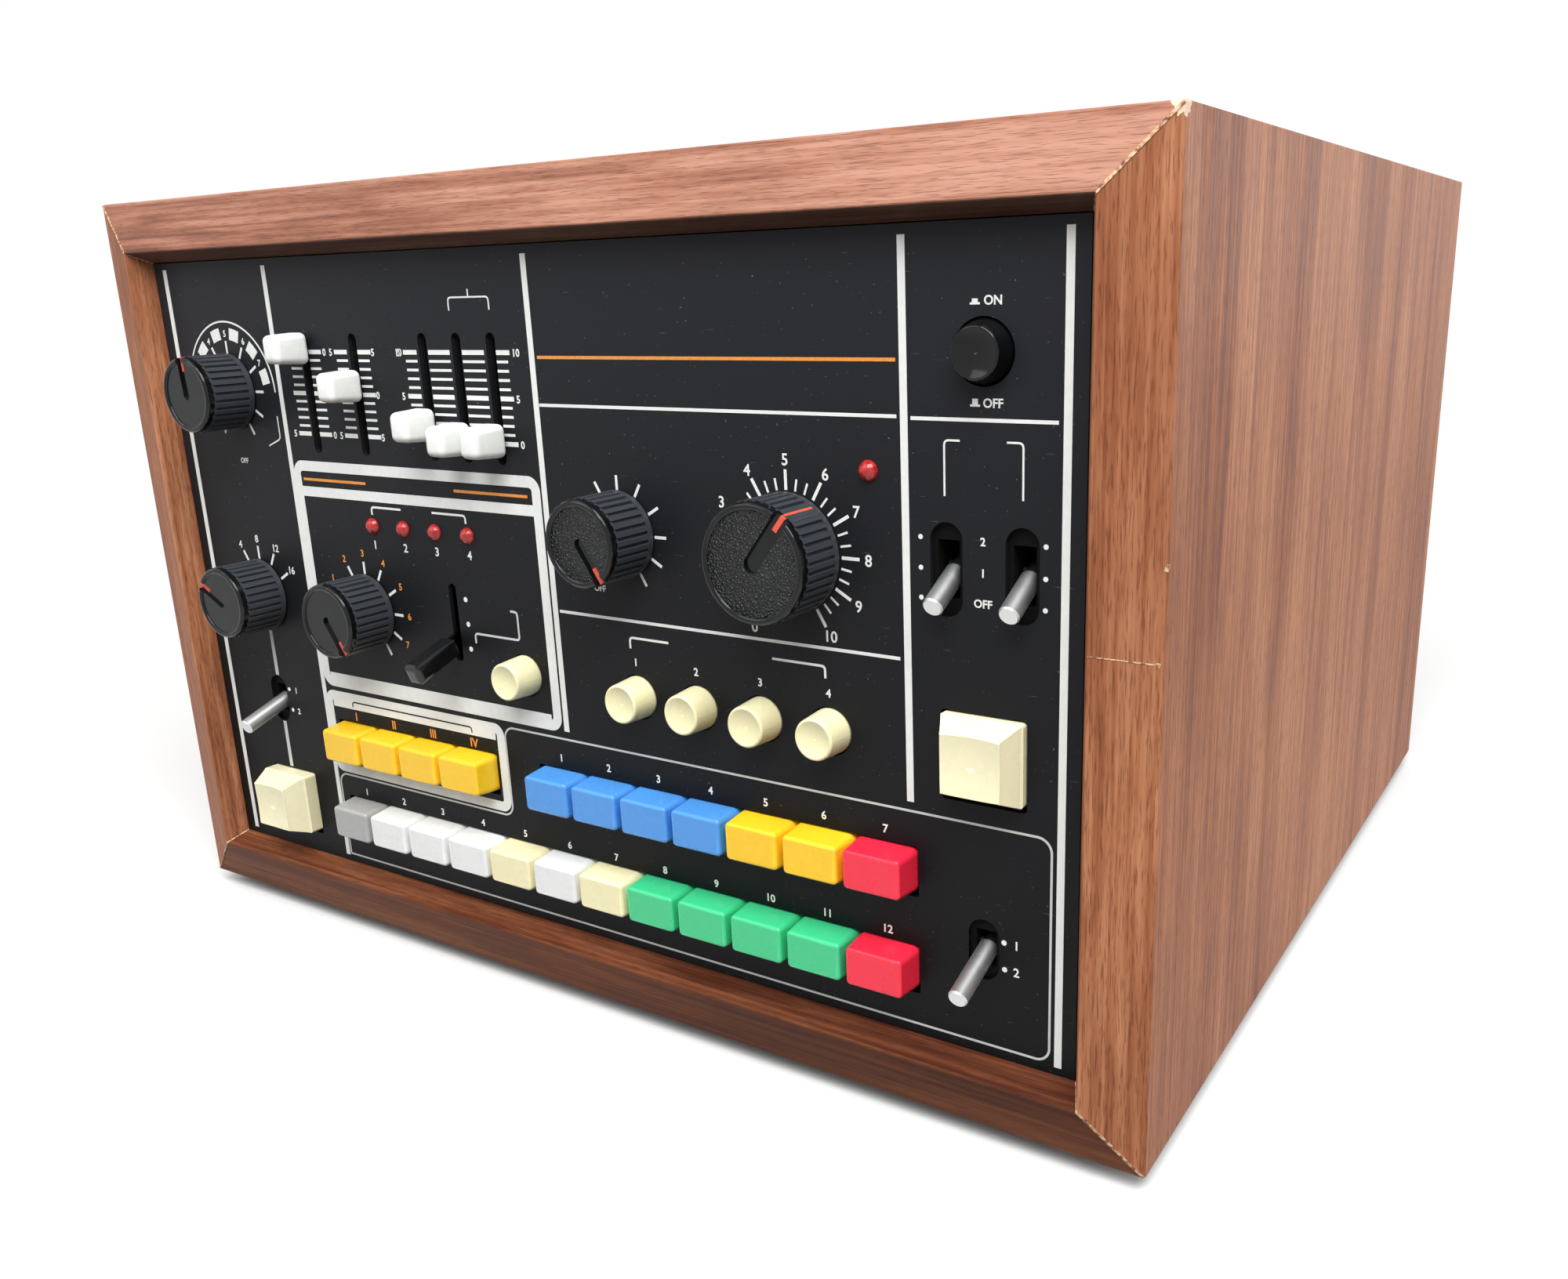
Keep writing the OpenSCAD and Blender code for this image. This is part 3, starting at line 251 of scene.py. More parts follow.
deselect()
bpy.ops.mesh.primitive_circle_add(vertices=96, radius=FLOOR_RADIUS, fill_type="NGON")
floor = bpy.context.object
floor.name = "floor"
material, tree, paper, coords = new_material("pale_floor_paper")
seen = seen_directly(tree)
tint = add(tree, "Mix", {0: seen, 6: linear("#3c3a38"), 7: linear("#f3f3f2")}, data_type="RGBA")
fill(tree, paper, {"Base Color": tint.outputs[2], "Roughness": 0.9})
away = add(tree, "VectorMath", {0: coords}, operation="LENGTH")
fade = add(tree, "MapRange", {
    "Value": away.outputs["Value"], "From Min": WHITE_FROM, "From Max": WHITE_AT
}, interpolation_type="SMOOTHSTEP")
share = add(tree, "Math", {0: fade, 1: seen}, operation="MULTIPLY")
white = add(tree, "Emission", {"Color": (1, 1, 1, 1), "Strength": 1.0})
mixed = add(tree, "MixShader", {0: share, 1: paper, 2: white})
fill(tree, tree.nodes["Material Output"], {"Surface": mixed})
floor.data.materials.append(material)
print("floor radius", FLOOR_RADIUS, "m, soft light", SOFT_LIGHT)

# %% [markdown]
# ## Walnut-print vinyl
# The boards are chipboard under a printed, embossed vinyl film. The film shows soft wide bands,
# long thin grain lines, shorter streaks and short dark vessels, all drawn out along the grain,
# and here and there a darker cloud. Each layer is a noise stretched to its real size: so many
# millimetres across the grain and so many along it. The grain runs along X on the top and bottom
# boards and upright on the side boards. The top board's tones are paler, a painted sheen of the
# light from above, and the bottom board's are darker, painted shade, so there are three materials
# from one function. Faces that look down are darkened with painted shade, such as the slope above
# the panel.

# %% Sizes and tones of the print
# Each size is in millimetres: across the grain, then along it. Tones are dark, middle and light.
BANDS = (24, 320)
LINES = (1.3, 120)
STREAKS = (3.4, 34)
VESSELS = (0.33, 5.5)
CLOUDS = (38, 150)
WORN_PATCHES = (2.5, 16)
WALNUT_TONES = ("#7b452e", "#a86b4a", "#c78b67")
# Paler, pinker tones for the top board: a painted sheen of the light from above on the same print.
SHEEN_PAINTED_TOP_TONES = ("#6d4234", "#9f6a54", "#bd8b76")
# Darker tones for the bottom board: painted shade on the same walnut print.
SHADE_PAINTED_BOTTOM_TONES = ("#472315", "#6f3f29", "#8e5a3c")
VESSEL_TONE = "#46241a"
# The dark tone and share of painted shade on faces that look down.
PAINTED_SHADE_TONE = "#1c100b"
CHIPBOARD_TONE = "#e6cdb2"
GRAIN_SHARE, CLOUD_SHARE, PAINTED_SHADE_SHARE = 0.62, 0.55, 0.72
print("walnut bands", BANDS[0], "mm wide, vessels", VESSELS[1], "mm long")

# %% Walnut finishes
# The film is chipped off one corner of the case, about CHIP wide and with a ragged edge.
CORNER = Vector((case_high.x, case_low.y + 5 * MM, case_high.z))
CHIP = 3.2 * MM
RAGGED = 4 * MM
CRUMBS = 1.6


def walnut(name, grain, tones, gloss=0.16, pore=0.46):
    """Walnut print whose grain runs along axis 0 (X) or 2 (Z); tones are dark, middle, light."""
    material, tree, vinyl, coords = new_material(name)

    def layer(size, detail, distortion, low, high):
        noise = drawn_out(tree, coords, *size, grain, Detail=detail, Distortion=distortion)
        return add(tree, "MapRange", {"Value": noise, "From Min": low, "From Max": high})

    band = layer(BANDS, 2.0, 0.6, 0.32, 0.68)
    streak = layer(STREAKS, 3.0, 0.4, 0.3, 0.7)
    thread = layer(LINES, 4.0, 0.2, 0.34, 0.66)
    vessel = layer(VESSELS, 1.0, 0.0, 0.55, 0.67)
    cloud = layer(CLOUDS, 2.0, 0.8, 0.52, 0.8)
    fine = add(tree, "Mix", {0: 0.5, 2: streak, 3: thread}, data_type="FLOAT")
    both = add(tree, "Mix", {0: GRAIN_SHARE, 2: band, 3: fine}, data_type="FLOAT")
    tone = add(tree, "ValToRGB", {0: both},
               stops=[(0.18, tones[0]), (0.5, tones[1]), (0.82, tones[2])])
    shaded = add(tree, "Math", {0: cloud, 1: CLOUD_SHARE}, operation="MULTIPLY")
    clouded = add(tree, "Mix", {0: shaded, 6: tone, 7: linear(tones[0])}, data_type="RGBA")
    depth = add(tree, "Math", {0: vessel, 1: pore}, operation="MULTIPLY")
    pores = add(tree, "Mix", {0: depth, 6: clouded.outputs[2], 7: linear(VESSEL_TONE)},
                data_type="RGBA")
    # Faces that look down are mixed toward a dark tone: painted shade, as on the slope above the
    # panel.
    normal = add(tree, "NewGeometry").outputs["Normal"]
    faces = add(tree, "SeparateXYZ", {0: normal})
    under = add(tree, "MapRange", {
        "Value": faces.outputs["Z"], "From Min": -0.5, "From Max": -0.8, "To Max": PAINTED_SHADE_SHARE
    })
    painted_shade_below = add(tree, "Mix", {0: under, 6: pores.outputs[2], 7: linear(PAINTED_SHADE_TONE)},
                data_type="RGBA")
    crumbs = add(tree, "TexNoise", {"Vector": coords, "Scale": per(CRUMBS), "Detail": 3.0})
    ragged = add(tree, "Math", {0: crumbs, 1: -RAGGED, 2: CHIP + RAGGED / 2},
                 operation="MULTIPLY_ADD")
    reach = add(tree, "VectorMath", {0: coords, 1: CORNER}, operation="DISTANCE")
    chipped = add(tree, "Math", {0: reach.outputs["Value"], 1: ragged}, operation="LESS_THAN")
    bare = add(tree, "Mix", {0: chipped, 6: painted_shade_below.outputs[2], 7: linear(CHIPBOARD_TONE)},
               data_type="RGBA")
    shine = add(tree, "MapRange", {"Value": streak, "To Min": 0.42, "To Max": 0.54})
    emboss = add(tree, "Bump", {"Height": vessel, "Strength": 0.5, "Distance": 0.1 * MM},
                 invert=True)
    fill(tree, vinyl, {
        "Base Color": bare.outputs[2], "Roughness": shine, "Specular IOR Level": gloss,
        "Normal": emboss
    })
    return material


# Three copies of one walnut print: the top one with painted sheen, the bottom one with painted
# shade.
walnut_sheen_painted_top = walnut("walnut_print_vinyl_lying_painted_sheen", 0, SHEEN_PAINTED_TOP_TONES, pore=0.3)
walnut_upright = walnut("walnut_print_vinyl_upright", 2, WALNUT_TONES, gloss=0.1)
walnut_shade_painted_bottom = walnut("walnut_print_vinyl_painted_shade", 0, SHADE_PAINTED_BOTTOM_TONES, gloss=0.08)
print("walnut finishes made")

# %% Worn edges


def worn_edge(name, grain):
    """Vinyl rubbed thin along an edge: pale board shows in broken patches."""
    material, tree, vinyl, coords = new_material(name)
    noise = drawn_out(tree, coords, *WORN_PATCHES, grain, Detail=4.0)
    patches = add(tree, "ValToRGB", {0: noise},
                  stops=[(0.38, "#8c5539"), (0.5, "#b47c5a"), (0.62, "#dcb796")])
    fill(tree, vinyl, {"Base Color": patches, "Roughness": 0.55})
    return material


edge_lying = worn_edge("worn_vinyl_edge_lying", 0)
edge_upright = worn_edge("worn_vinyl_edge_upright", 2)
print("worn edges:", edge_lying.name, edge_upright.name)

# %% [markdown]
# ## The four boards
# A sawyer would cut each board from a plank, then mitre its ends and plane its front edge. The
# same is done here: a block at its size and place is cut with bisect planes. One plane slopes the
# front from the ridge out to the rim, one slopes it in to the panel, and two cut the mitres. The
# sharp edges then get a small bevel, because a real vinyl edge is never razor sharp.

# %% Board sizes
# The ridge lies RIDGE_IN from the outer face. The rim is RIM_FALL behind it, the panel PANEL_SET.
BOARD = 20.5 * MM
RIDGE_IN = 17.1 * MM
RIM_FALL = 5.1 * MM
PANEL_SET = 7.8 * MM
GLUE_GAP = 0.1 * MM
EDGE_ROUND = 0.45 * MM
SMOOTH_BELOW = 12
PARALLEL = 0.9
RIDGE_Y = case_low.y
BACK_Y = case_high.y
case_middle = (case_low + case_high) / 2
case_w = case_high.x - case_low.x
case_h = case_high.z - case_low.z
print("boards", round(BOARD / MM, 1), "mm thick")

# %% Tools for a board


def saw(point, outwards):
    """Cuts away what lies on the outer side of a plane and closes the cut."""
    bpy.ops.mesh.select_all(action="SELECT")
    bpy.ops.mesh.bisect(plane_co=point, plane_no=outwards, use_fill=True, clear_outer=True)


def select_edges(mesh_object, wanted):
    """Selects the edges whose middle and direction the test accepts."""
    mesh = bmesh.from_edit_mesh(mesh_object.data)
    bpy.ops.mesh.select_all(action="DESELECT")
    for edge in mesh.edges:
        middle = (edge.verts[0].co + edge.verts[1].co) / 2
        edge.select = wanted(middle, (edge.verts[1].co - edge.verts[0].co).normalized())
    mesh.select_flush(True)
    bmesh.update_edit_mesh(mesh_object.data)


def board(name, inwards, length, vinyl, worn):
    """One mitred board. inwards is the unit direction from its outer face to the panel."""
    along = inwards.cross(Vector((0, 1, 0)))
    half_side = case_middle.x - case_low.x if inwards.x else case_middle.z - case_low.z
    face = Vector((case_middle.x, 0, case_middle.z)) - inwards * half_side
    middle = face + inwards * BOARD / 2 + Vector((0, (RIDGE_Y + BACK_Y) / 2, 0))
    size = [abs(a) * length + abs(i) * BOARD for a, i in zip(along, inwards)]
    size[1] = BACK_Y - RIDGE_Y
    deselect()
    bpy.ops.mesh.primitive_cube_add(size=1, location=middle)
    piece = bpy.context.object
    piece.scale = size
    bpy.ops.object.transform_apply(location=True, rotation=True, scale=True)
    bpy.ops.object.mode_set(mode="EDIT")
    ridge = face + inwards * RIDGE_IN + Vector((0, RIDGE_Y, 0))
    y = Vector((0, 1, 0))
    saw(ridge, (-y * RIDGE_IN - inwards * RIM_FALL).normalized())
    saw(ridge, (inwards * PANEL_SET - y * (BOARD - RIDGE_IN)).normalized())
    for end in (-1, 1):
        tip = face + along * end * (length / 2 - GLUE_GAP)
        saw(tip, (along * end + inwards).normalized())
    outer = lambda m: (m - face).dot(inwards) < EDGE_ROUND
    runs = lambda d: abs(d.dot(along)) > PARALLEL
    select_edges(piece, lambda m, d: outer(m) or not runs(d) and abs(d.y) < 0.99)
    bpy.ops.mesh.bevel(offset=EDGE_ROUND, segments=2, material=1)
    select_edges(piece, lambda m, d: runs(d) and abs(m.y - RIDGE_Y) < EDGE_ROUND / 4)
    bpy.ops.mesh.bevel(offset=EDGE_ROUND, segments=3, material=0)
    end_mesh(name, vinyl, worn)
    bpy.ops.object.shade_smooth_by_angle(angle=math.radians(SMOOTH_BELOW))
    return piece


# %% Boards and cleats
# The cleats are the two upright strips inside the back that hold the rear panel.
boards = [
    board("top_board", Vector((0, 0, -1)), case_w, walnut_sheen_painted_top, edge_lying),
    board("bottom_board", Vector((0, 0, 1)), case_w, walnut_shade_painted_bottom, edge_lying),
    board("right_board", Vector((-1, 0, 0)), case_h, walnut_upright, edge_upright),
    board("left_board", Vector((1, 0, 0)), case_h, walnut_upright, edge_upright),
]
CLEAT = 13 * MM
CLEAT_LENGTH = 186 * MM
CLEAT_ROUND = 0.8 * MM
REAR_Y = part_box("rear_panel")[0].y
for name, side_sign in (("left_cleat", -1), ("right_cleat", 1)):
    deselect()
    x = side_sign * (case_w / 2 - BOARD - CLEAT / 2)
    bpy.ops.mesh.primitive_cube_add(size=1, location=(x, REAR_Y - CLEAT / 2, case_middle.z),
                                    scale=(CLEAT, CLEAT, CLEAT_LENGTH))
    bpy.ops.object.transform_apply(location=True, rotation=True, scale=True)
    bpy.ops.object.mode_set(mode="EDIT")
    bpy.ops.mesh.select_all(action="SELECT")
    bpy.ops.mesh.bevel(offset=CLEAT_ROUND, segments=2)
    boards.append(end_mesh(name, walnut_upright))
for piece in boards:
    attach(piece, "cabinet")
    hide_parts("cabinet_boards")
print("boards:", [(b.name, len(b.data.polygons)) for b in boards])

# %% [markdown]
# ### Worn joints
# Where two mitred boards meet, the film ends and the filler in the joint shows as a pale, broken
# line. It is a thin strip that follows the slope of the front from the ridge to the rim. One
# fine scratch crosses the right board, and two nicks lie near that board's rim.

# %% Mitre filler and scratch
# Widths and thicknesses are in millimetres. A scratch or nick goes from one place on the slope,
# across and up, to another, and has a width.
FILLER_W = 0.75
FILLER_T = 0.16
CRACKS = 1.1
SCRATCH = ((0.2, 144.7, 8.1, 144.1, 0.28), (8.1, 144.1, 15.4, 143.4, 0.36))
NICKS = ((15.2, 143.5, 16.1, 143.2, 1.1), (16.6, 165.2, 17.0, 166.9, 1.0))
filler, tree, paste, coords = new_material("cracked_joint_filler")
cracks = add(tree, "TexNoise", {"Vector": coords, "Scale": per(CRACKS), "Detail": 3.0})
tone = add(tree, "ValToRGB", {0: cracks},
           stops=[(0.36, "#6d4431"), (0.46, "#b98a66"), (0.6, "#e2c09b")])
fill(tree, paste, {"Base Color": tone, "Roughness": 0.8})


def strip(start, end, normal, width):
    """A thin strip along the surface from start to end, in edit mode."""
    run = (end - start).normalized()
    lift = (normal - run * normal.dot(run)).normalized()
    turn = Matrix((run, lift.cross(run), lift)).transposed().to_euler()
    bpy.ops.mesh.primitive_cube_add(
        size=1, location=(start + end) / 2, rotation=turn,
        scale=((end - start).length, width * MM, FILLER_T * MM))


start_mesh()
rim_y = RIDGE_Y + RIM_FALL
for sx in (-1, 1):
    for sz in (-1, 1):
        rim = Vector((case_middle.x + sx * case_w / 2, rim_y, case_middle.z + sz * case_h / 2))
        ridge = Vector((rim.x - sx * RIDGE_IN, RIDGE_Y, rim.z - sz * RIDGE_IN))
        inner = Vector((rim.x - sx * BOARD, RIDGE_Y + PANEL_SET, rim.z - sz * BOARD))
        strip(ridge, rim.lerp(ridge, 0.02), Vector((sx * 0.3, -1, sz * 0.3)), FILLER_W)
        strip(inner, ridge, Vector((-sx, -0.4, -sz)), FILLER_W * 0.7)
slope = Vector((RIM_FALL, -RIDGE_IN, 0))
ridge_x = case_high.x - RIDGE_IN


def on_slope(across, height):
    """A point of the right board's front: millimetres from its ridge, and height."""
    fall = across * MM * RIM_FALL / RIDGE_IN
    return Vector((ridge_x + across * MM, RIDGE_Y + fall, height * MM))


for across, height, to_across, to_height, width in SCRATCH + NICKS:
    strip(on_slope(across, height), on_slope(to_across, to_height), slope, width)
fillers = end_mesh("mitre_filler", filler)
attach(fillers, "cabinet")
print("mitre filler strips:", len(fillers.data.polygons) // 6)

# %% [markdown]
# ## Moulded and painted surfaces
# A plain colour looks like a toy, so each finish carries the traces of how it was made. The panel
# is steel with satin paint: a faint orange-peel surface, dust and a few hairline scratches. The
# paint is also painted paler toward the top, a painted reflection of the light above. The buttons
# are moulded ABS: even, slightly cloudy and softly shiny, with a fine tool texture.

# %% Panel paint
# Sizes of the patterns in millimetres; a scratch has a length and a width.
PEEL = 0.9
DUST = 0.85
SHEEN = 45
SCRATCHES = (9, 0.35)
# From this height above the panel's foot up to its top, the black is painted paler: painted
# reflection.
PAINTED_SHEEN_FROM = 30 * MM


def panel_paint(name, low_code, high_code):
    """Black satin paint: orange peel, dust, fine scratches, and painted reflection paler at the
    top.
    """
    material, tree, paint, coords = new_material(name)
    height = add(tree, "SeparateXYZ", {0: coords}).outputs["Z"]
    # Painted reflection: the black grows paler toward the top of the panel.
    painted_sheen = add(tree, "MapRange", {
        "Value": height, "From Min": panel_low.z + PAINTED_SHEEN_FROM, "From Max": panel_high.z
    })
    black = add(tree, "Mix", {0: painted_sheen, 6: linear(low_code), 7: linear(high_code)},
                data_type="RGBA")
    specks = add(tree, "TexNoise", {"Vector": coords, "Scale": per(DUST), "Detail": 2.0})
    dust = add(tree, "MapRange", {"Value": specks, "From Min": 0.745, "From Max": 0.78})
    scale = (per(SCRATCHES[0]), 1, per(SCRATCHES[1]))
    stretched = add(tree, "Mapping", {"Vector": coords, "Rotation": (0, 0.9, 0), "Scale": scale})
    hairs = add(tree, "TexNoise", {"Vector": stretched, "Scale": 1.0})
    scratch = add(tree, "MapRange", {
        "Value": hairs, "From Min": 0.74, "From Max": 0.8, "To Max": 0.7
    })
    marks = add(tree, "Math", {0: dust, 1: scratch}, operation="MAXIMUM")
    faint = add(tree, "Math", {0: marks, 1: 0.45}, operation="MULTIPLY")
    tint = add(tree, "Mix", {0: faint, 6: black.outputs[2], 7: linear("#9a9da1")},
               data_type="RGBA")
    clouds = add(tree, "TexNoise", {"Vector": coords, "Scale": per(SHEEN), "Detail": 3.0})
    shine = add(tree, "MapRange", {
        "Value": clouds, "From Min": 0.3, "From Max": 0.7, "To Min": 0.42, "To Max": 0.5
    })
    peel = add(tree, "TexNoise", {"Vector": coords, "Scale": per(PEEL), "Detail": 1.0})
    bump = add(tree, "Bump", {"Height": peel, "Strength": 0.25, "Distance": 0.08 * MM})
    fill(tree, paint, {
        "Base Color": tint.outputs[2], "Roughness": shine, "Specular IOR Level": 0.12,
        "Normal": bump
    })
    return material


black_paint = panel_paint("black_satin_stoving_paint", "#090a0c", "#232428")
print("paint:", black_paint.name)

# %% Moulded plastics
CLOUDY = 5


def moulded(name, code, roughness=0.27, cloud=0.02, grain=0.45, gloss=0.5):
    """Injection-moulded ABS: a slightly cloudy colour, a soft shine and a fine tool grain."""
    material, tree, plastic, coords = new_material(name)
    mottling = add(tree, "TexNoise", {"Vector": coords, "Scale": per(CLOUDY), "Detail": 3.0})
    shade = add(tree, "MapRange", {
        "Value": mottling, "From Min": 0.3, "From Max": 0.7, "To Min": 1 - cloud,
        "To Max": 1 + cloud / 2
    })
    tint = add(tree, "HueSaturation", {"Value": shade, "Color": linear(code)})
    handled = add(tree, "MapRange", {
        "Value": mottling, "To Min": roughness - 0.02, "To Max": roughness + 0.03
    })
    tool = add(tree, "TexNoise", {"Vector": coords, "Scale": per(grain), "Detail": 2.0})
    bump = add(tree, "Bump", {"Height": tool, "Strength": 0.02, "Distance": 0.05 * MM})
    fill(tree, plastic, {
        "Base Color": tint, "Roughness": handled, "Specular IOR Level": gloss, "Normal": bump
    })
    return material


BUTTON_COLOURS = {
    "cream": "#f8f0c0", "ivory": "#faf3ca", "amber": "#ffcd24", "blue": "#4f98e4",
    "red": "#f72a45", "green": "#3fcc8a", "white": "#eeefee", "grey": "#a9a9a7",
}
plastics = {name: moulded(name + "_abs", code) for name, code in BUTTON_COLOURS.items()}
gloss_abs = moulded("polished_black_abs", "#0b0c0e", roughness=0.12, grain=3.0, gloss=0.28)
print("plastics:", sorted(plastics))

# %% [markdown]
# ## Knobs, levers, lamps and inner parts
# The knobs are black ABS with polished crowns. The discs of two of them have a leather grain.
# The shader finds the disc by its distance from the panel and its direction, so that the flutes
# and the groove stay plain. The levers are turned aluminium with fine rings. Where one solid
# joins two materials, such as a cap on its blade, the shader tells them apart by a plane.

# %% Knob finishes
# LEATHER is the size of a pebble, WEAR that of a rubbed patch and CROWN the height of the
# polished rim, in millimetres. A disc is given by how far it stands out from the panel.
LEATHER, FINE = 0.7, 0.5
WEAR = 4
CROWN = 1.8
SMALL_DISC = 17.4
TEMPO_DISC = 16.9


def knob_abs(name, leather, disc):
    """Black ABS of a dial: satin flutes, a polished crown, and leather grain on the disc."""
    material, tree, plastic, coords = new_material(name)
    wear = add(tree, "TexNoise", {"Vector": coords, "Scale": per(WEAR), "Detail": 4.0})
    tint = add(tree, "ValToRGB", {0: wear},
               stops=[(0.3, "#0a0b0d"), (0.62, "#101214"), (0.78, "#1b1d21")])
    normal = add(tree, "NewGeometry").outputs["Normal"]
    facing = add(tree, "VectorMath", {0: normal, 1: (0, -1, 0)}, operation="DOT_PRODUCT")
    flat = add(tree, "MapRange", {
        "Value": facing.outputs["Value"], "From Min": 0.97, "From Max": 0.99
    })
    place = add(tree, "SeparateXYZ", {0: coords})
    out = add(tree, "Math", {0: place.outputs["Y"], 1: -1 / MM, 2: FRONT / MM},
              operation="MULTIPLY_ADD")
    level = add(tree, "Math", {0: out, 1: disc, 2: 0.15}, operation="COMPARE")
    face = add(tree, "Math", {0: flat, 1: level}, operation="MULTIPLY")
    crown = add(tree, "Math", {0: out, 1: disc - CROWN}, operation="GREATER_THAN")
    gloss = add(tree, "MapRange", {"Value": crown, "To Min": 0.46, "To Max": 0.12})
    # Below the crown the sides are painted a lighter grey: a painted highlight on the flutes.
    tint_with_flute_highlight = add(tree, "Mix", {0: crown, 6: linear("#3a3d43"), 7: tint}, data_type="RGBA")
    shine = add(tree, "Mix", {0: face, 2: gloss, 3: 0.3 if leather else 0.26}, data_type="FLOAT")
    cells = add(tree, "TexVoronoi", {
        "Vector": coords, "Scale": per(LEATHER), "Smoothness": 0.3
    }, feature="SMOOTH_F1")
    fine = add(tree, "TexNoise", {"Vector": coords, "Scale": per(FINE), "Detail": 3.0})
    pebbles = add(tree, "Math", {0: fine, 1: 0.35, 2: cells.outputs["Distance"]},
                  operation="MULTIPLY_ADD")
    height = pebbles if leather else fine
    relief = add(tree, "Math", {0: height, 1: face}, operation="MULTIPLY")
    bump = add(tree, "Bump", {
        "Height": relief, "Strength": 1.0 if leather else 0.05, "Distance": 0.9 * MM
    })
    fill(tree, plastic, {
        "Base Color": tint_with_flute_highlight.outputs[2], "Roughness": shine, "Specular IOR Level": 0.3,
        "Normal": bump
    })
    return material


knob_smooth = knob_abs("black_knob_abs_smooth", False, SMALL_DISC)
knob_leather = knob_abs("black_knob_abs_leather_grained", True, SMALL_DISC)
knob_tempo = knob_abs("black_knob_abs_leather_grained_large", True, TEMPO_DISC)
print("knob finishes made")

# %% Patchy surfaces


def plain(name, low, high, size, roughness, bump_strength=0.2, gloss=0.5):
    """A surface that varies between two tones in patches of the given size."""
    material, tree, surface, coords = new_material(name)
    patches = add(tree, "TexNoise", {"Vector": coords, "Scale": per(size), "Detail": 4.0})
    tint = add(tree, "ValToRGB", {0: patches}, stops=[(0.3, low), (0.7, high)])
    bump = add(tree, "Bump", {"Height": patches, "Strength": bump_strength, "Distance": 0.2 * MM})
    fill(tree, surface, {
        "Base Color": tint, "Roughness": roughness, "Specular IOR Level": gloss, "Normal": bump
    })
    return material


# %% Metals
# Tool marks are RING_ROUND millimetres long round the piece, so that they read as rings.
RING_ROUND = 25
STAINS = 3


def metal(name, code, roughness, rings=None, ring_axis=1):
    """Bare metal with faint stains; rings is the spacing in mm of tool marks along ring_axis."""
    material, tree, steel, coords = new_material(name)
    stains = add(tree, "TexNoise", {"Vector": coords, "Scale": per(STAINS), "Detail": 4.0})
    shade = add(tree, "MapRange", {
        "Value": stains, "From Min": 0.3, "From Max": 0.7, "To Min": 0.86, "To Max": 1.06
    })
    tint = add(tree, "HueSaturation", {"Value": shade, "Color": linear(code)})
    dull = add(tree, "MapRange", {
        "Value": stains, "To Min": roughness - 0.06, "To Max": roughness + 0.1
    })
    fill(tree, steel, {"Base Color": tint, "Roughness": dull, "Metallic": 1.0})
    if rings:
        marks = drawn_out(tree, coords, RING_ROUND, rings, ring_axis)
        bump = add(tree, "Bump", {"Height": marks, "Strength": 0.3, "Distance": 0.08 * MM})
        fill(tree, steel, {"Normal": bump})
    return material


shield = plain("blackened_switch_steel", "#060607", "#0c0c0d", 2.0, 0.8, gloss=0.1)
zinc = metal("zinc_plated_steel", "#b4b6b6", 0.4)
screw_metal = metal("nickel_plated_screw_steel", "#bcbab4", 0.3, rings=0.5)
iron = metal("varnished_transformer_iron", "#7d7a76", 0.5, rings=0.5, ring_axis=2)
print("metals:", shield.name, zinc.name, screw_metal.name, iron.name)

# %% Caps on blades, and levers
LEVER_RINGS = 0.35


def two_parts(name, cap_code, blade_code, point, outwards, cap_roughness, rings=False):
    """Plastic beyond a plane (point, outwards), bare metal behind it, with rings if wanted."""
    material, tree, surface, coords = new_material(name)
    offset = add(tree, "VectorMath", {0: coords, 1: point}, operation="SUBTRACT")
    beyond = add(tree, "VectorMath", {0: offset, 1: outwards}, operation="DOT_PRODUCT")
    cap = add(tree, "Math", {0: beyond.outputs["Value"], 1: 0.0}, operation="GREATER_THAN")
    mottling = add(tree, "TexNoise", {"Vector": coords, "Scale": per(STAINS), "Detail": 3.0})
    shade = add(tree, "MapRange", {
        "Value": mottling, "From Min": 0.3, "From Max": 0.7, "To Min": 0.98, "To Max": 1.0
    })
    tint = add(tree, "Mix", {0: cap, 6: linear(blade_code), 7: linear(cap_code)}, data_type="RGBA")
    final = add(tree, "HueSaturation", {"Value": shade, "Color": tint.outputs[2]})
    bare = add(tree, "MapRange", {"Value": cap, "To Min": 1.0, "To Max": 0.0})
    shine = add(tree, "MapRange", {
        "Value": mottling, "To Min": cap_roughness, "To Max": cap_roughness + 0.1
    })
    marks = drawn_out(tree, coords, RING_ROUND, LEVER_RINGS, 1)
    height = marks if rings else mottling
    bump = add(tree, "Bump", {
        "Height": height, "Strength": 0.25 if rings else 0.03, "Distance": 0.1 * MM
    })
    fill(tree, surface, {
        "Base Color": final, "Metallic": bare, "Roughness": shine, "Normal": bump
    })
    return material


def tipped(x, z, pivot, tilt, along):
    """A point on a lever that is tipped down, and the lever's direction."""
    turn = math.radians(tilt)
    axis = Vector((0, -math.cos(turn), -math.sin(turn)))
    return on_panel(x, z, -pivot) + axis * along * MM, axis


slider_white = two_parts("white_abs_cap_on_steel_blade", "#f8faf6", "#8d8f90",
                         on_panel(0, 0, 1.0), (0, -1, 0), 0.22)
point, axis = tipped(-41.2, -8, 16, 20, 20.3)
mode_black = two_parts("black_abs_cap_on_blackened_blade", "#101113", "#2a2a2c", point, axis, 0.16)
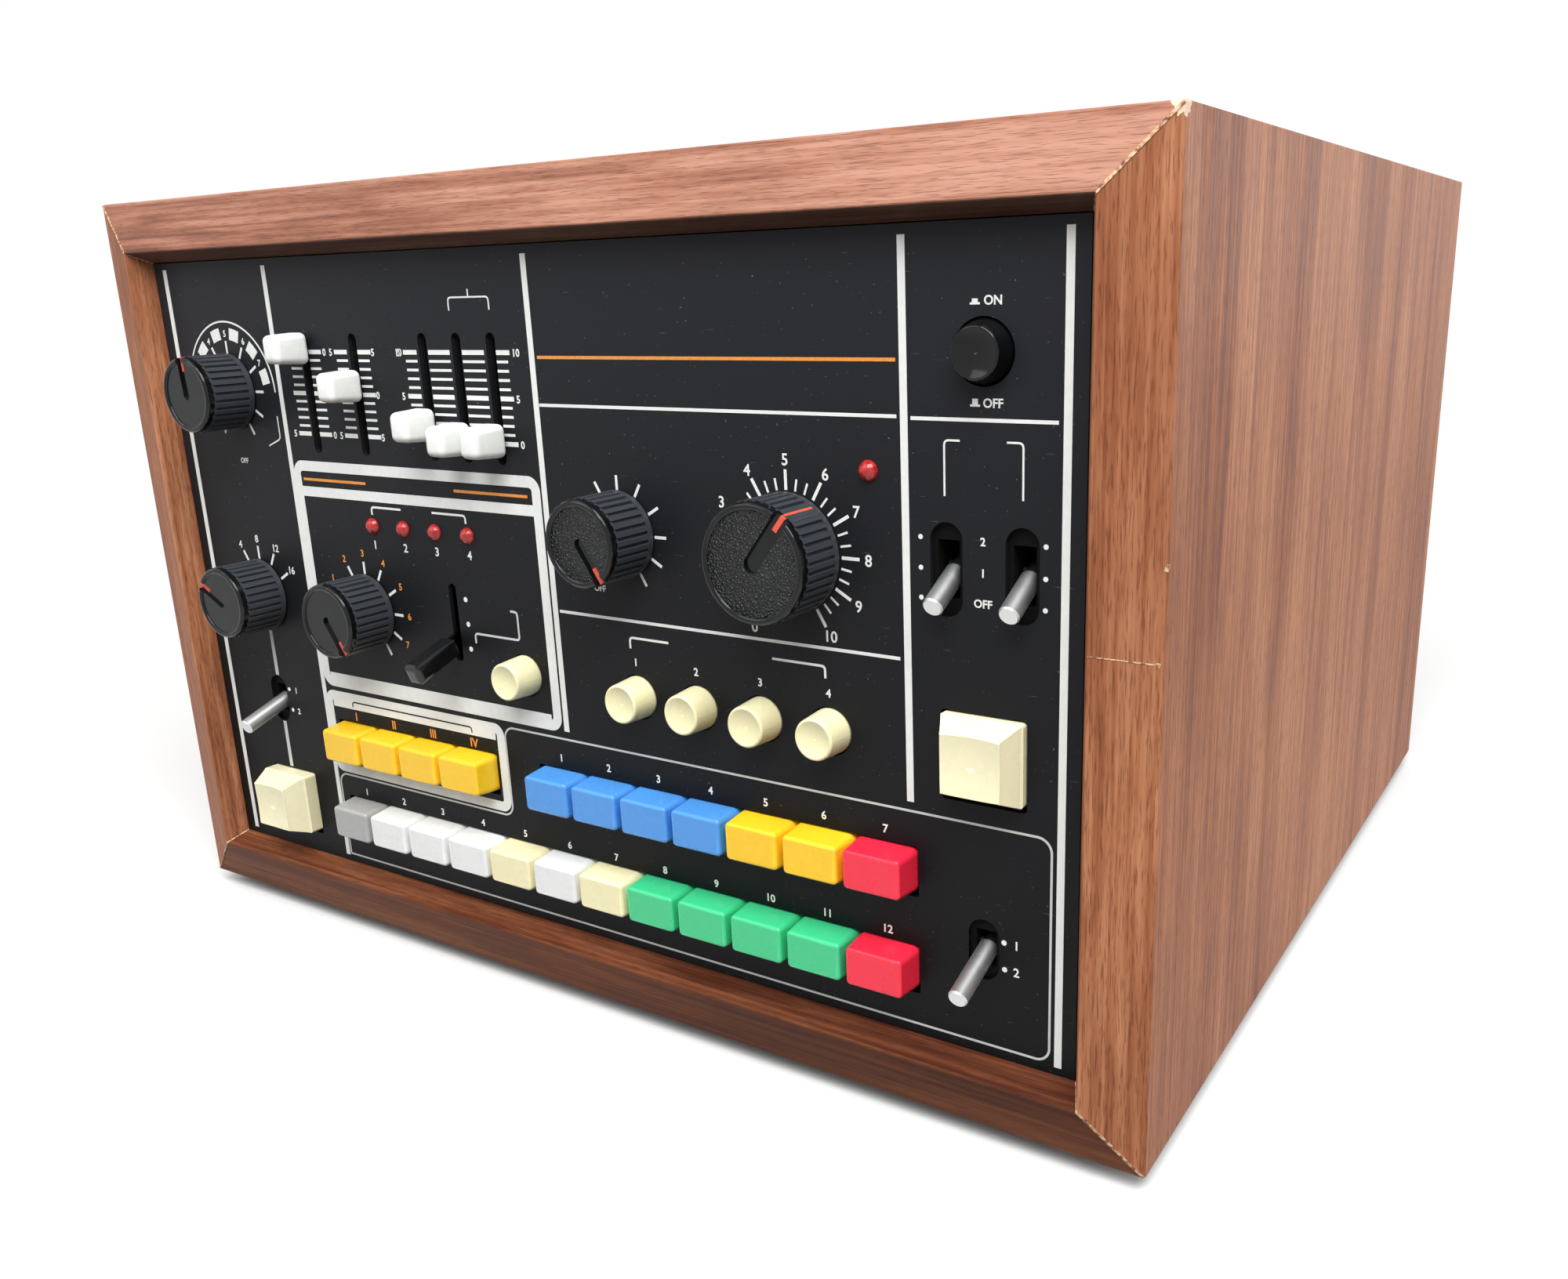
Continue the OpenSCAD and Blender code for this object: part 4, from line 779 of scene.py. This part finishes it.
# Each row: lever, height on the panel, depth of its pivot, tilt in degrees, length of its root.
LEVERS = (("fade_in", 25.5, 8, 27, 3.0), ("fade_out", 25.5, 8, 27, 3.0),
          ("rhythm", -76.5, 5, 19, 1.6), ("fill", -48.0, 5, 19, 1.6))
levers = {}
for name, z, pivot, tilt, root in LEVERS:
    point, axis = tipped(0, z, pivot, tilt, root)
    levers[name] = two_parts(name + "_black_root_turned_aluminium", "#141516", "#c4c6c6", point,
                             -axis, 0.4, rings=True)
print("levers:", sorted(levers))

# %% Lamps, inner parts and inks
# Epoxy lenses are deep red and shiny, rubber is dull, and a solder mask, phenolic and nylon shine
# a little. Screen ink dries half matt and covers unevenly, which shows most in orange.
lamp_red = plain("red_epoxy_lamp_lens", "#8c1517", "#c62a28", 1.1, 0.12, 0.08)
rubber = plain("black_moulded_rubber", "#161617", "#242425", 1.5, 0.8)
laminate = plain("green_solder_masked_laminate", "#1d4a2b", "#2f6b3f", 3.0, 0.35)
socket_abs = plain("black_phenolic_socket", "#121213", "#1d1d1e", 2.0, 0.35)
switch_grey = plain("grey_nylon_switch_body", "#6d6e6c", "#838481", 2.0, 0.5)
white_ink = plain("white_screen_ink", "#e6e8e5", "#edeeeb", 2.5, 0.5, 0.02)
orange_ink = plain("orange_screen_ink", "#dc8836", "#ee9a45", 0.8, 0.5, 0.1)
grey_ink = plain("grey_screen_ink", "#c4c6c4", "#cdcfcd", 2.5, 0.5, 0.02)
red_ink = plain("red_pointer_paint", "#d8503c", "#f0654e", 0.8, 0.45, 0.1)
print("inks:", white_ink.name, orange_ink.name, grey_ink.name, red_ink.name)

# %% Give the frame's solids their finishes
UPPER_ROW = ["blue"] * 4 + ["amber"] * 2 + ["red"]
LOWER_ROW = ["grey"] + ["white"] * 3 + ["cream", "white", "cream"] + ["green"] * 4 + ["red"]
SLIDERS = ("volume", "balance", "metallic", "tambourine", "guiro")
finishes = {
    "front_panel": black_paint, "rear_panel": black_paint, "chassis": zinc,
    "rubber_feet": rubber, "circuit_boards": laminate, "power_transformer": iron,
    "indicator_leds": lamp_red, "fasteners": screw_metal, "push_switch_bodies": switch_grey,
    "toggle_switch_bodies": shield, "rotary_bodies": zinc, "slide_pot_bodies": shield,
    "rear_sockets": socket_abs, "mode_lever": mode_black, "power_button": gloss_abs,
    "accent_knob": knob_leather, "tempo_knob": knob_tempo,
}
for name in ("variation", "measure", "instrument"):
    finishes[name + "_knob"] = knob_smooth
for name in SLIDERS:
    finishes[name + "_slider"] = slider_white
for name, aluminium in levers.items():
    finishes[name + "_toggle"] = aluminium
finishes.update(start_button=plastics["ivory"], fill_button=plastics["ivory"],
                clear_button=plastics["cream"])
for i in range(4):
    finishes[f"voice_button_{i + 1}"] = plastics["cream"]
    finishes[f"program_button_{i + 1}"] = plastics["amber"]
for i, tone in enumerate(UPPER_ROW):
    finishes[f"upper_button_{i + 1}"] = plastics[tone]
for i, tone in enumerate(LOWER_ROW):
    finishes[f"lower_button_{i + 1}"] = plastics[tone]
for name, material in finishes.items():
    mesh = nodes[name].data
    mesh.materials.clear()
    mesh.materials.append(material)
print("finished nodes:", len(finishes))

# %% [markdown]
# ### Slider caps
# A slider's cap is a soft block of white ABS, wider at its foot. Its edges are rolled over so far
# that hardly a flat is left between them, so each cap is built anew on its blade.

# %% Slider caps
# In millimetres: distances out from the panel, then widths and heights.
CAP_LIFT, CAP_TOP, BLADE_TOP = 1.2, 13.4, 6.2
CAP_FOOT, CAP_END, BLADE = (8.8, 10.3), (7.5, 9.0), (1.2, 5)
CAP_ROLL, CAP_SMOOTH_BELOW = 2.1, 40
for name in SLIDERS:
    low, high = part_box(name + "_slider")
    x, z = (low.x + high.x) / 2, (low.z + high.z) / 2
    blade_end = (FRONT - high.y) / MM
    deselect()
    bpy.ops.mesh.primitive_cube_add(size=1)
    bpy.ops.object.mode_set(mode="EDIT")
    mesh = bmesh.from_edit_mesh(bpy.context.object.data)
    for vertex in mesh.verts:
        out, (width, height) = (CAP_TOP, CAP_END) if vertex.co.y < 0 else (CAP_LIFT, CAP_FOOT)
        vertex.co = Vector((x + vertex.co.x * width * MM, FRONT - out * MM,
                            z + vertex.co.z * height * MM))
    bmesh.update_edit_mesh(bpy.context.object.data)
    bpy.ops.mesh.select_all(action="SELECT")
    bpy.ops.mesh.bevel(offset=CAP_ROLL * MM, segments=6)
    bpy.ops.mesh.primitive_cube_add(
        size=1, location=(x, FRONT - (BLADE_TOP + blade_end) / 2 * MM, z),
        scale=(BLADE[0] * MM, (BLADE_TOP - blade_end) * MM, BLADE[1] * MM))
    cap = end_mesh(name + "_slider_cap", slider_white)
    bpy.ops.object.shade_smooth_by_angle(angle=math.radians(CAP_SMOOTH_BELOW))
    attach(cap, name + "_slider")
    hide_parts(name + "_slider")
    print(cap.name, "faces:", len(cap.data.polygons))

# %% [markdown]
# ## Screen printing
# The lines, brackets, scales and figures are ink, screen-printed on the paint. An ink film is
# only some hundredths of a millimetre thick. Here each line is a thin bar that stands 0.06 mm
# proud, so it keeps a crisp edge from any side. Bars are added in edit mode, one for each
# straight stretch, and an arc is a chain of short bars. Bars that cross may share no plane, so
# each is lifted a few thousandths of a millimetre off the one before, in a cycle, and the wide
# stripes stand out further than what meets them.

# %% Drawing tools
# In millimetres, but ARC_STEP is in degrees. OVER is how far a stripe across others stands out.
INK_OUT = 0.06
INK_IN = 0.04
OVER = 0.106
BEND = 1.2
ARC_STEP = 6
LIFT, LIFTS = 0.004, 11
lifts = itertools.cycle(LIFT * step for step in range(LIFTS))


def bar(a, b, width, out=INK_OUT, thick=INK_OUT + INK_IN, ends=0.0):
    """A straight bar of ink from a to b, lengthened at both ends by `ends`."""
    length = math.dist(a, b) + 2 * ends
    out += next(lifts)
    place = on_panel((a[0] + b[0]) / 2, (a[1] + b[1]) / 2, out - thick / 2)
    turn = -math.atan2(b[1] - a[1], b[0] - a[0])
    bpy.ops.mesh.primitive_cube_add(size=1, location=place, rotation=(0, turn, 0),
                                    scale=(length * MM, thick * MM, width * MM))


def line(points, width, **how):
    """Bars along a path whose corners are rounded, each in three short steps."""
    path = [points[0]]
    for a, b, c in zip(points, points[1:], points[2:]):
        start, end = (Vector(b) + (Vector(p) - Vector(b)).normalized() * BEND for p in (a, c))
        for t in (0, 1 / 3, 2 / 3, 1):
            path.append(start.lerp(Vector(b), t).lerp(Vector(b).lerp(end, t), t))
    path.append(points[-1])
    for a, b in zip(path, path[1:]):
        bar(a, b, width, ends=width / 10, **how)


def arc(middle, radius, start, end, width):
    """An arc round a middle, between two directions counted clockwise from straight up."""
    count = max(2, round(abs(end - start) / ARC_STEP))
    turns = [math.radians(start + (end - start) * i / count) for i in range(count + 1)]
    points = [(middle[0] + radius * math.sin(t), middle[1] + radius * math.cos(t)) for t in turns]
    overlap = width / 2 * math.tan(math.radians(ARC_STEP / 2))
    for a, b in zip(points, points[1:]):
        bar(a, b, width, ends=overlap)


def polar(middle, radius, turn):
    """The point at a direction, clockwise from straight up, and a distance from a middle."""
    t = math.radians(turn)
    return middle[0] + radius * math.sin(t), middle[1] + radius * math.cos(t)


def tick(middle, inner, outer, turn, width):
    """A scale mark that points away from a dial."""
    bar(polar(middle, inner, turn), polar(middle, outer, turn), width)


def dot(x, z, radius):
    """A round dot of ink."""
    bpy.ops.mesh.primitive_cylinder_add(
        vertices=20, radius=radius * MM, depth=(INK_OUT + INK_IN) * MM,
        location=on_panel(x, z, (INK_OUT - INK_IN) / 2), rotation=(math.pi / 2, 0, 0))


def frame_line(x0, z0, x1, z1, radius, width):
    """A rectangle with round corners, drawn on its middle line."""
    corners = [(x1 - radius, z1 - radius, 0), (x1 - radius, z0 + radius, 90),
               (x0 + radius, z0 + radius, 180), (x0 + radius, z1 - radius, 270)]
    for i, (x, z, turn) in enumerate(corners):
        arc((x, z), radius, turn, turn + 90, width)
        nx, nz, _ = corners[(i + 1) % 4]
        bar(polar((x, z), radius, turn + 90), polar((nx, nz), radius, turn + 90), width)


def end_print(name, ink, figures=()):
    """Ends a print: adds its figures and gives it its ink and its body."""
    print_object = end_mesh(name)
    letters = [figure(*row) for row in figures]
    deselect()
    for piece in letters + [print_object]:
        piece.select_set(True)
    bpy.context.view_layer.objects.active = print_object
    if letters:
        bpy.ops.object.join()
    print_object.data.materials.append(ink)
    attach(print_object, "cabinet")
    print(name, "faces:", len(print_object.data.polygons))


# %% Figures
# A figure is CAP_SHARE of its font's size high, and drawn bolder by BOLDER millimetres.
CAP_SHARE = 0.73
BOLDER = 0.07


def figure(text, x, z, height):
    """A plain figure, made from text and turned to face the front."""
    deselect()
    bpy.ops.object.text_add()
    piece = bpy.context.object
    piece.data.body = text
    piece.data.align_x = "CENTER"
    piece.data.size = height * MM / CAP_SHARE
    piece.data.extrude = (INK_OUT + INK_IN) / 2 * MM
    piece.data.resolution_u = 3
    piece.data.offset = BOLDER * MM
    bpy.ops.object.convert(target="MESH")
    piece = bpy.context.object
    piece.rotation_euler = (math.pi / 2, 0, 0)
    piece.location = on_panel(x, z - height / 2, (INK_OUT - INK_IN) / 2)
    bpy.ops.object.transform_apply(location=True, rotation=True, scale=True)
    return piece


# %% Places of the dials
# In millimetres from the panel's middle, to the right and up.
VARIATION = (-141.3, 64.3)
MEASURE = (-141.3, -8)
INSTRUMENT = (-83.6, -8.4)
ACCENT = (33, 26.7)
TEMPO = (92, 26)
figures = []
print("tempo dial", TEMPO[0], "mm to the right,", TEMPO[1], "mm up")

# %% [markdown]
# ### White lines
# Stripes divide the panel into columns. Thin lines, brackets and the two framed boxes group the
# controls, and rows of short ticks stand beside the sliders.

# %% Stripes, brackets and boxes
# Each stripe is given by its place to the right, then its lower and upper end.
STRIPES = ((-170.3, -105.5, 105.5), (-114.8, -105.5, 105.5), (4.2, -38.3, 105.2),
           (128.1, -38.3, 105.2), (171.3, -105.5, 105.5))
STRIPE, RULE, BRACKET, THIN = 2.1, 0.9, 0.7, 0.5
start_mesh()
for x, low, high in STRIPES:
    bar((x, low), (x, high), STRIPE, out=OVER)
for left, right_end, z in ((5.5, 126, 62.8), (130, 169, 62.5), (6, 125.8, 0.9)):
    bar((left, z), (right_end, z), RULE)
line([(-28.3, 90), (-28.3, 93.7), (-11.3, 93.7), (-11.3, 90)], THIN)
bar((-19.6, 93.7), (-19.6, 96), THIN)
line([(-75.8, 25.2), (-75.8, 27.7), (-61.5, 27.7)], BRACKET)
line([(-46.5, 27.7), (-31.4, 27.7), (-31.4, 25.2)], BRACKET)
line([(33.4, -7.5), (33.4, -4.2), (48, -4.2)], BRACKET)
line([(85, -4.2), (102.3, -4.2), (102.3, -7.5)], BRACKET)
line([(139.2, 44), (139.2, 57.5), (143.4, 57.5)], THIN)
line([(156, 57.5), (160.2, 57.5), (160.2, 44)], THIN)
frame_line(-112.1, -37.1, 0.6, 39.9, 3.0, 3.5)
bar((-112, 31.2), (0.5, 31.2), 3.4)
bar((-110, -36.2), (-2, -36.2), 5.2, out=OVER)
frame_line(-112.7, -69.8, -26.1, -42.2, 2.6, 3.4)
bar((-110.5, -43.6), (-28.5, -43.6), 5.6)
print("stripes:", len(STRIPES))

# %% Dots and the marks of the power button
for x in (132.3, 166.2):
    for z in (33.4, 25.6, 17.9):
        dot(x, z, 0.65)
for z in (0.3, -7.9, -16.2):
    dot(-35.4, z, 0.85)
for x, z in ((155.6, -73), (155.8, -80.8), (-135.8, -43.8), (-135.4, -51.8)):
    dot(x, z, 0.75)
figures += [("ON", 152.3, 90, 2.2), ("OFF", 152.3, 66.6, 2.2)]
for z, top_step in ((90, 1.1), (66.7, 1.6)):
    bar((146.3, z - 0.8), (148.9, z - 0.8), THIN)
    bar((147.6, z - 0.8), (147.6, z - 0.8 + top_step), 1.5)
print("figures so far:", len(figures))

# %% Slider scales
# A column of ticks has its left and right end, and the side to which its long ticks reach.
TICKS = 11
LONG_TICKS = (0, 5, 10)
TICK_LOW = 50.9
TICK_STEP = 2.68
COLUMNS = ((-107, -101.5, -1), (-97, -91.7, 1), (-83.2, -77.8, -1), (-72.5, -67.2, 1),
           (-50, -44.8, -1), (-39.5, -30, 0), (-24.6, -15.3, 0), (-10.2, -5.6, 1))
for left, right_end, longer in COLUMNS:
    for k in range(TICKS):
        z = TICK_LOW + TICK_STEP * k
        major = k in LONG_TICKS
        grow = 0.9 if major else 0.0
        bar((left - grow * (longer < 0), z), (right_end + grow * (longer > 0), z),
            1.4 if major else 0.8)
for x, labels in ((-109.9, "5 0"), (-89.2, "050"), (-85.9, "5 5"), (-65.3, "505"), (-53, "055"),
                  (-2.9, "05 ")):
    for k, text in zip(LONG_TICKS, labels):
        if text != " ":
            figures.append((text, x, TICK_LOW + TICK_STEP * k, 2.3))
for x in (-53.2, -2.2):
    figures.append(("10", x, TICK_LOW + TICK_STEP * 10, 2.3))
print("columns of ticks:", len(COLUMNS))

# %% [markdown]
# ### Dial scales
# Each dial has marks at its switch positions or in equal steps, counted clockwise from straight
# up, and plain figures outside them.

# %% Dial scales in white
MARKS_IN, MARKS_OUT = 12.8, 17
for turn in range(-150, 151, 10):
    major = turn % 30 == 0
    tick(TEMPO, 16.8, 22.2 if major else 20, turn, 0.9 if major else 0.6)
for n in range(11):
    x, z = polar(TEMPO, 24.9, 30 * n - 150)
    figures.append((str(n), x, z, 3.2))
for turn in range(-150, 151, 30):
    for dial, width in ((ACCENT, 0.85), (INSTRUMENT, 0.95), (VARIATION, 0.9)):
        tick(dial, MARKS_IN, MARKS_OUT, turn, width)
figures.append(("OFF", *polar(ACCENT, 19.5, -150), 1.9))
for turn, text in ((-30, "4"), (0, "8"), (30, "12"), (60, "16")):
    tick(MEASURE, MARKS_IN, 17.5, turn, 0.95)
    figures.append((text, *polar(MEASURE, 20.2, turn), 2.7))
for n, turn in enumerate((-60, -30, 0, 30, 60)):
    arc(VARIATION, 19.5, turn + 8, turn + 22, 4.0)
    figures.append((str(n + 3), *polar(VARIATION, 19.5, turn), 2.2))
arc(VARIATION, 23.5, -60, 90, 0.6)
line([(-118.8, 56.2), (-118.8, 48.5), (-125.5, 46)], THIN)
figures.append(("OFF", -141, 40.3, 1.8))
print("figures so far:", len(figures))

# %% Figures of the buttons and lamps
PITCH = 19.9
ROW_START = -98.9
for n in range(12):
    figures.append((str(n + 1), ROW_START + PITCH * n, -77.6, 2.5))
for n in range(7):
    figures.append((str(n + 1), ROW_START + PITCH * (n + 5), -47.6, 2.5))
for n in range(4):
    figures.append((str(n + 1), -76.2 + 15 * n, 15.1, 2.9))
    figures.append((str(n + 1), 35 + 22.7 * n, -11.6, 2.4))
for x, height, rows in ((149.6, 2.1, ((33.4, "2"), (25.6, "1"), (17.9, "OFF"))),
                        (159.2, 2.6, ((-73, "1"), (-80.8, "2"))),
                        (-131.8, 2.2, ((-43.8, "1"), (-51.8, "2")))):
    figures += [(text, x, z, height) for z, text in rows]
end_print("panel_print_white", white_ink, figures)

# %% [markdown]
# ### Thin outline, orange and grey print
# The rhythm rows stand in a thin outline that steps round the programme buttons. Orange marks
# belong to the programmer.

# %% Outline of the rhythm rows
OUTLINE, LINK = 0.65, 1.8
ROUND = 4
start_mesh()
bar((-20, -41), (164.8, -41), OUTLINE)
arc((164.8, -45), ROUND, 0, 90, OUTLINE)
bar((168.8, -45), (168.8, -100.7), OUTLINE)
arc((164.8, -100.7), ROUND, 90, 180, OUTLINE)
bar((164.8, -104.7), (-113, -104.7), OUTLINE)
bar((-113, -104.7), (-113, -76.5), OUTLINE)
arc((-109, -76.5), ROUND, 270, 360, OUTLINE)
bar((-109, -72.5), (-28, -72.5), OUTLINE)
arc((-28, -68.5), ROUND, 180, 90, OUTLINE)
bar((-24, -68.5), (-24, -45), OUTLINE)
arc((-20, -45), ROUND, 270, 360, OUTLINE)
line([(-15.5, -1.5), (-12.7, -1.5), (-12.7, -10.6), (-32.6, -10.6), (-32.6, -13.8)], BRACKET)
bar((-141.5, -22), (-141.5, -39), LINK)
bar((-141.5, -57), (-141.5, -75), LINK)
end_print("panel_print_grey", grey_ink)

# %% Orange print
# On the white boxes lies a dark strip and on that the orange, each standing out further.
ON_WHITE, ON_STRIP = 0.13, 0.2
start_mesh()
bar((6.3, 76.4), (126, 76.4), RULE)
bar((-109, 35.4), (-77, 35.4), RULE, out=ON_STRIP)
bar((-35, 35.4), (-3, 35.4), RULE, out=ON_STRIP)
roman = [(("I", "II", "III", "IV")[n], ROW_START + PITCH * n, -48.9, 3.2) for n in range(4)]
dial_figures = [(str(n + 1), *polar(INSTRUMENT, 20, 30 * n - 60), 2.4) for n in range(7)]
end_print("panel_print_orange", orange_ink, roman + dial_figures)

# %% Dark strips on the white boxes
start_mesh()
bar((-110.2, 35.4), (-1.3, 35.4), 4.6, out=ON_WHITE)
line([(-100, -45.5), (-100, -43.6), (-39.5, -43.6), (-39.5, -45.5)], 0.45, out=ON_WHITE)
end_print("panel_print_black", black_paint)

# %% [markdown]
# ## Pointer lines
# Each dial has a red line painted on the outer end of its groove, which bends over the rim. On
# the large tempo dial it runs on, down the plain land between the flutes. It turns with the dial,
# so it rides on the dial's own body.

# %% Pointer lines
# Each row: dial, its middle, where it points, its radius, and how far out its groove lies.
POINTERS = [
    ("variation", VARIATION, -4, 12.9, 16.5), ("measure", MEASURE, -62, 12.9, 16.5),
    ("instrument", INSTRUMENT, 147, 12.9, 16.5), ("accent", ACCENT, 147, 12.9, 16.5),
    ("tempo", TEMPO, 38, 16.5, 16.0),
]
POINTER_W = 1.5
POINTER_T, SIDE_T = 0.12, 0.14
GROOVE = 5.1
SKIRT = 2.6
LAND = 0.9


def down_the_side(middle, radius, turn, low, high):
    """A bar of ink on a dial's side, between two distances from the panel."""
    x, z = polar(middle, radius, turn)
    bpy.ops.mesh.primitive_cube_add(
        size=1, location=on_panel(x, z, (low + high) / 2),
        rotation=(0, math.radians(turn - 90), 0),
        scale=(SIDE_T * MM, (high - low) * MM, POINTER_W * MM))


for name, middle, turn, radius, bed in POINTERS:
    start_mesh()
    a, b = polar(middle, radius - GROOVE, turn), polar(middle, radius - 0.35, turn)
    bar(a, b, POINTER_W, out=bed + 0.08, thick=POINTER_T)
    down_the_side(middle, radius - 0.4, turn, bed - LAND, bed)
    if name == "tempo":
        down_the_side(middle, radius - 0.2, turn, SKIRT, bed - LAND)
    pointer = end_mesh(name + "_pointer_line", red_ink)
    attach(pointer, name + "_knob")
print("pointer lines:", len(POINTERS))
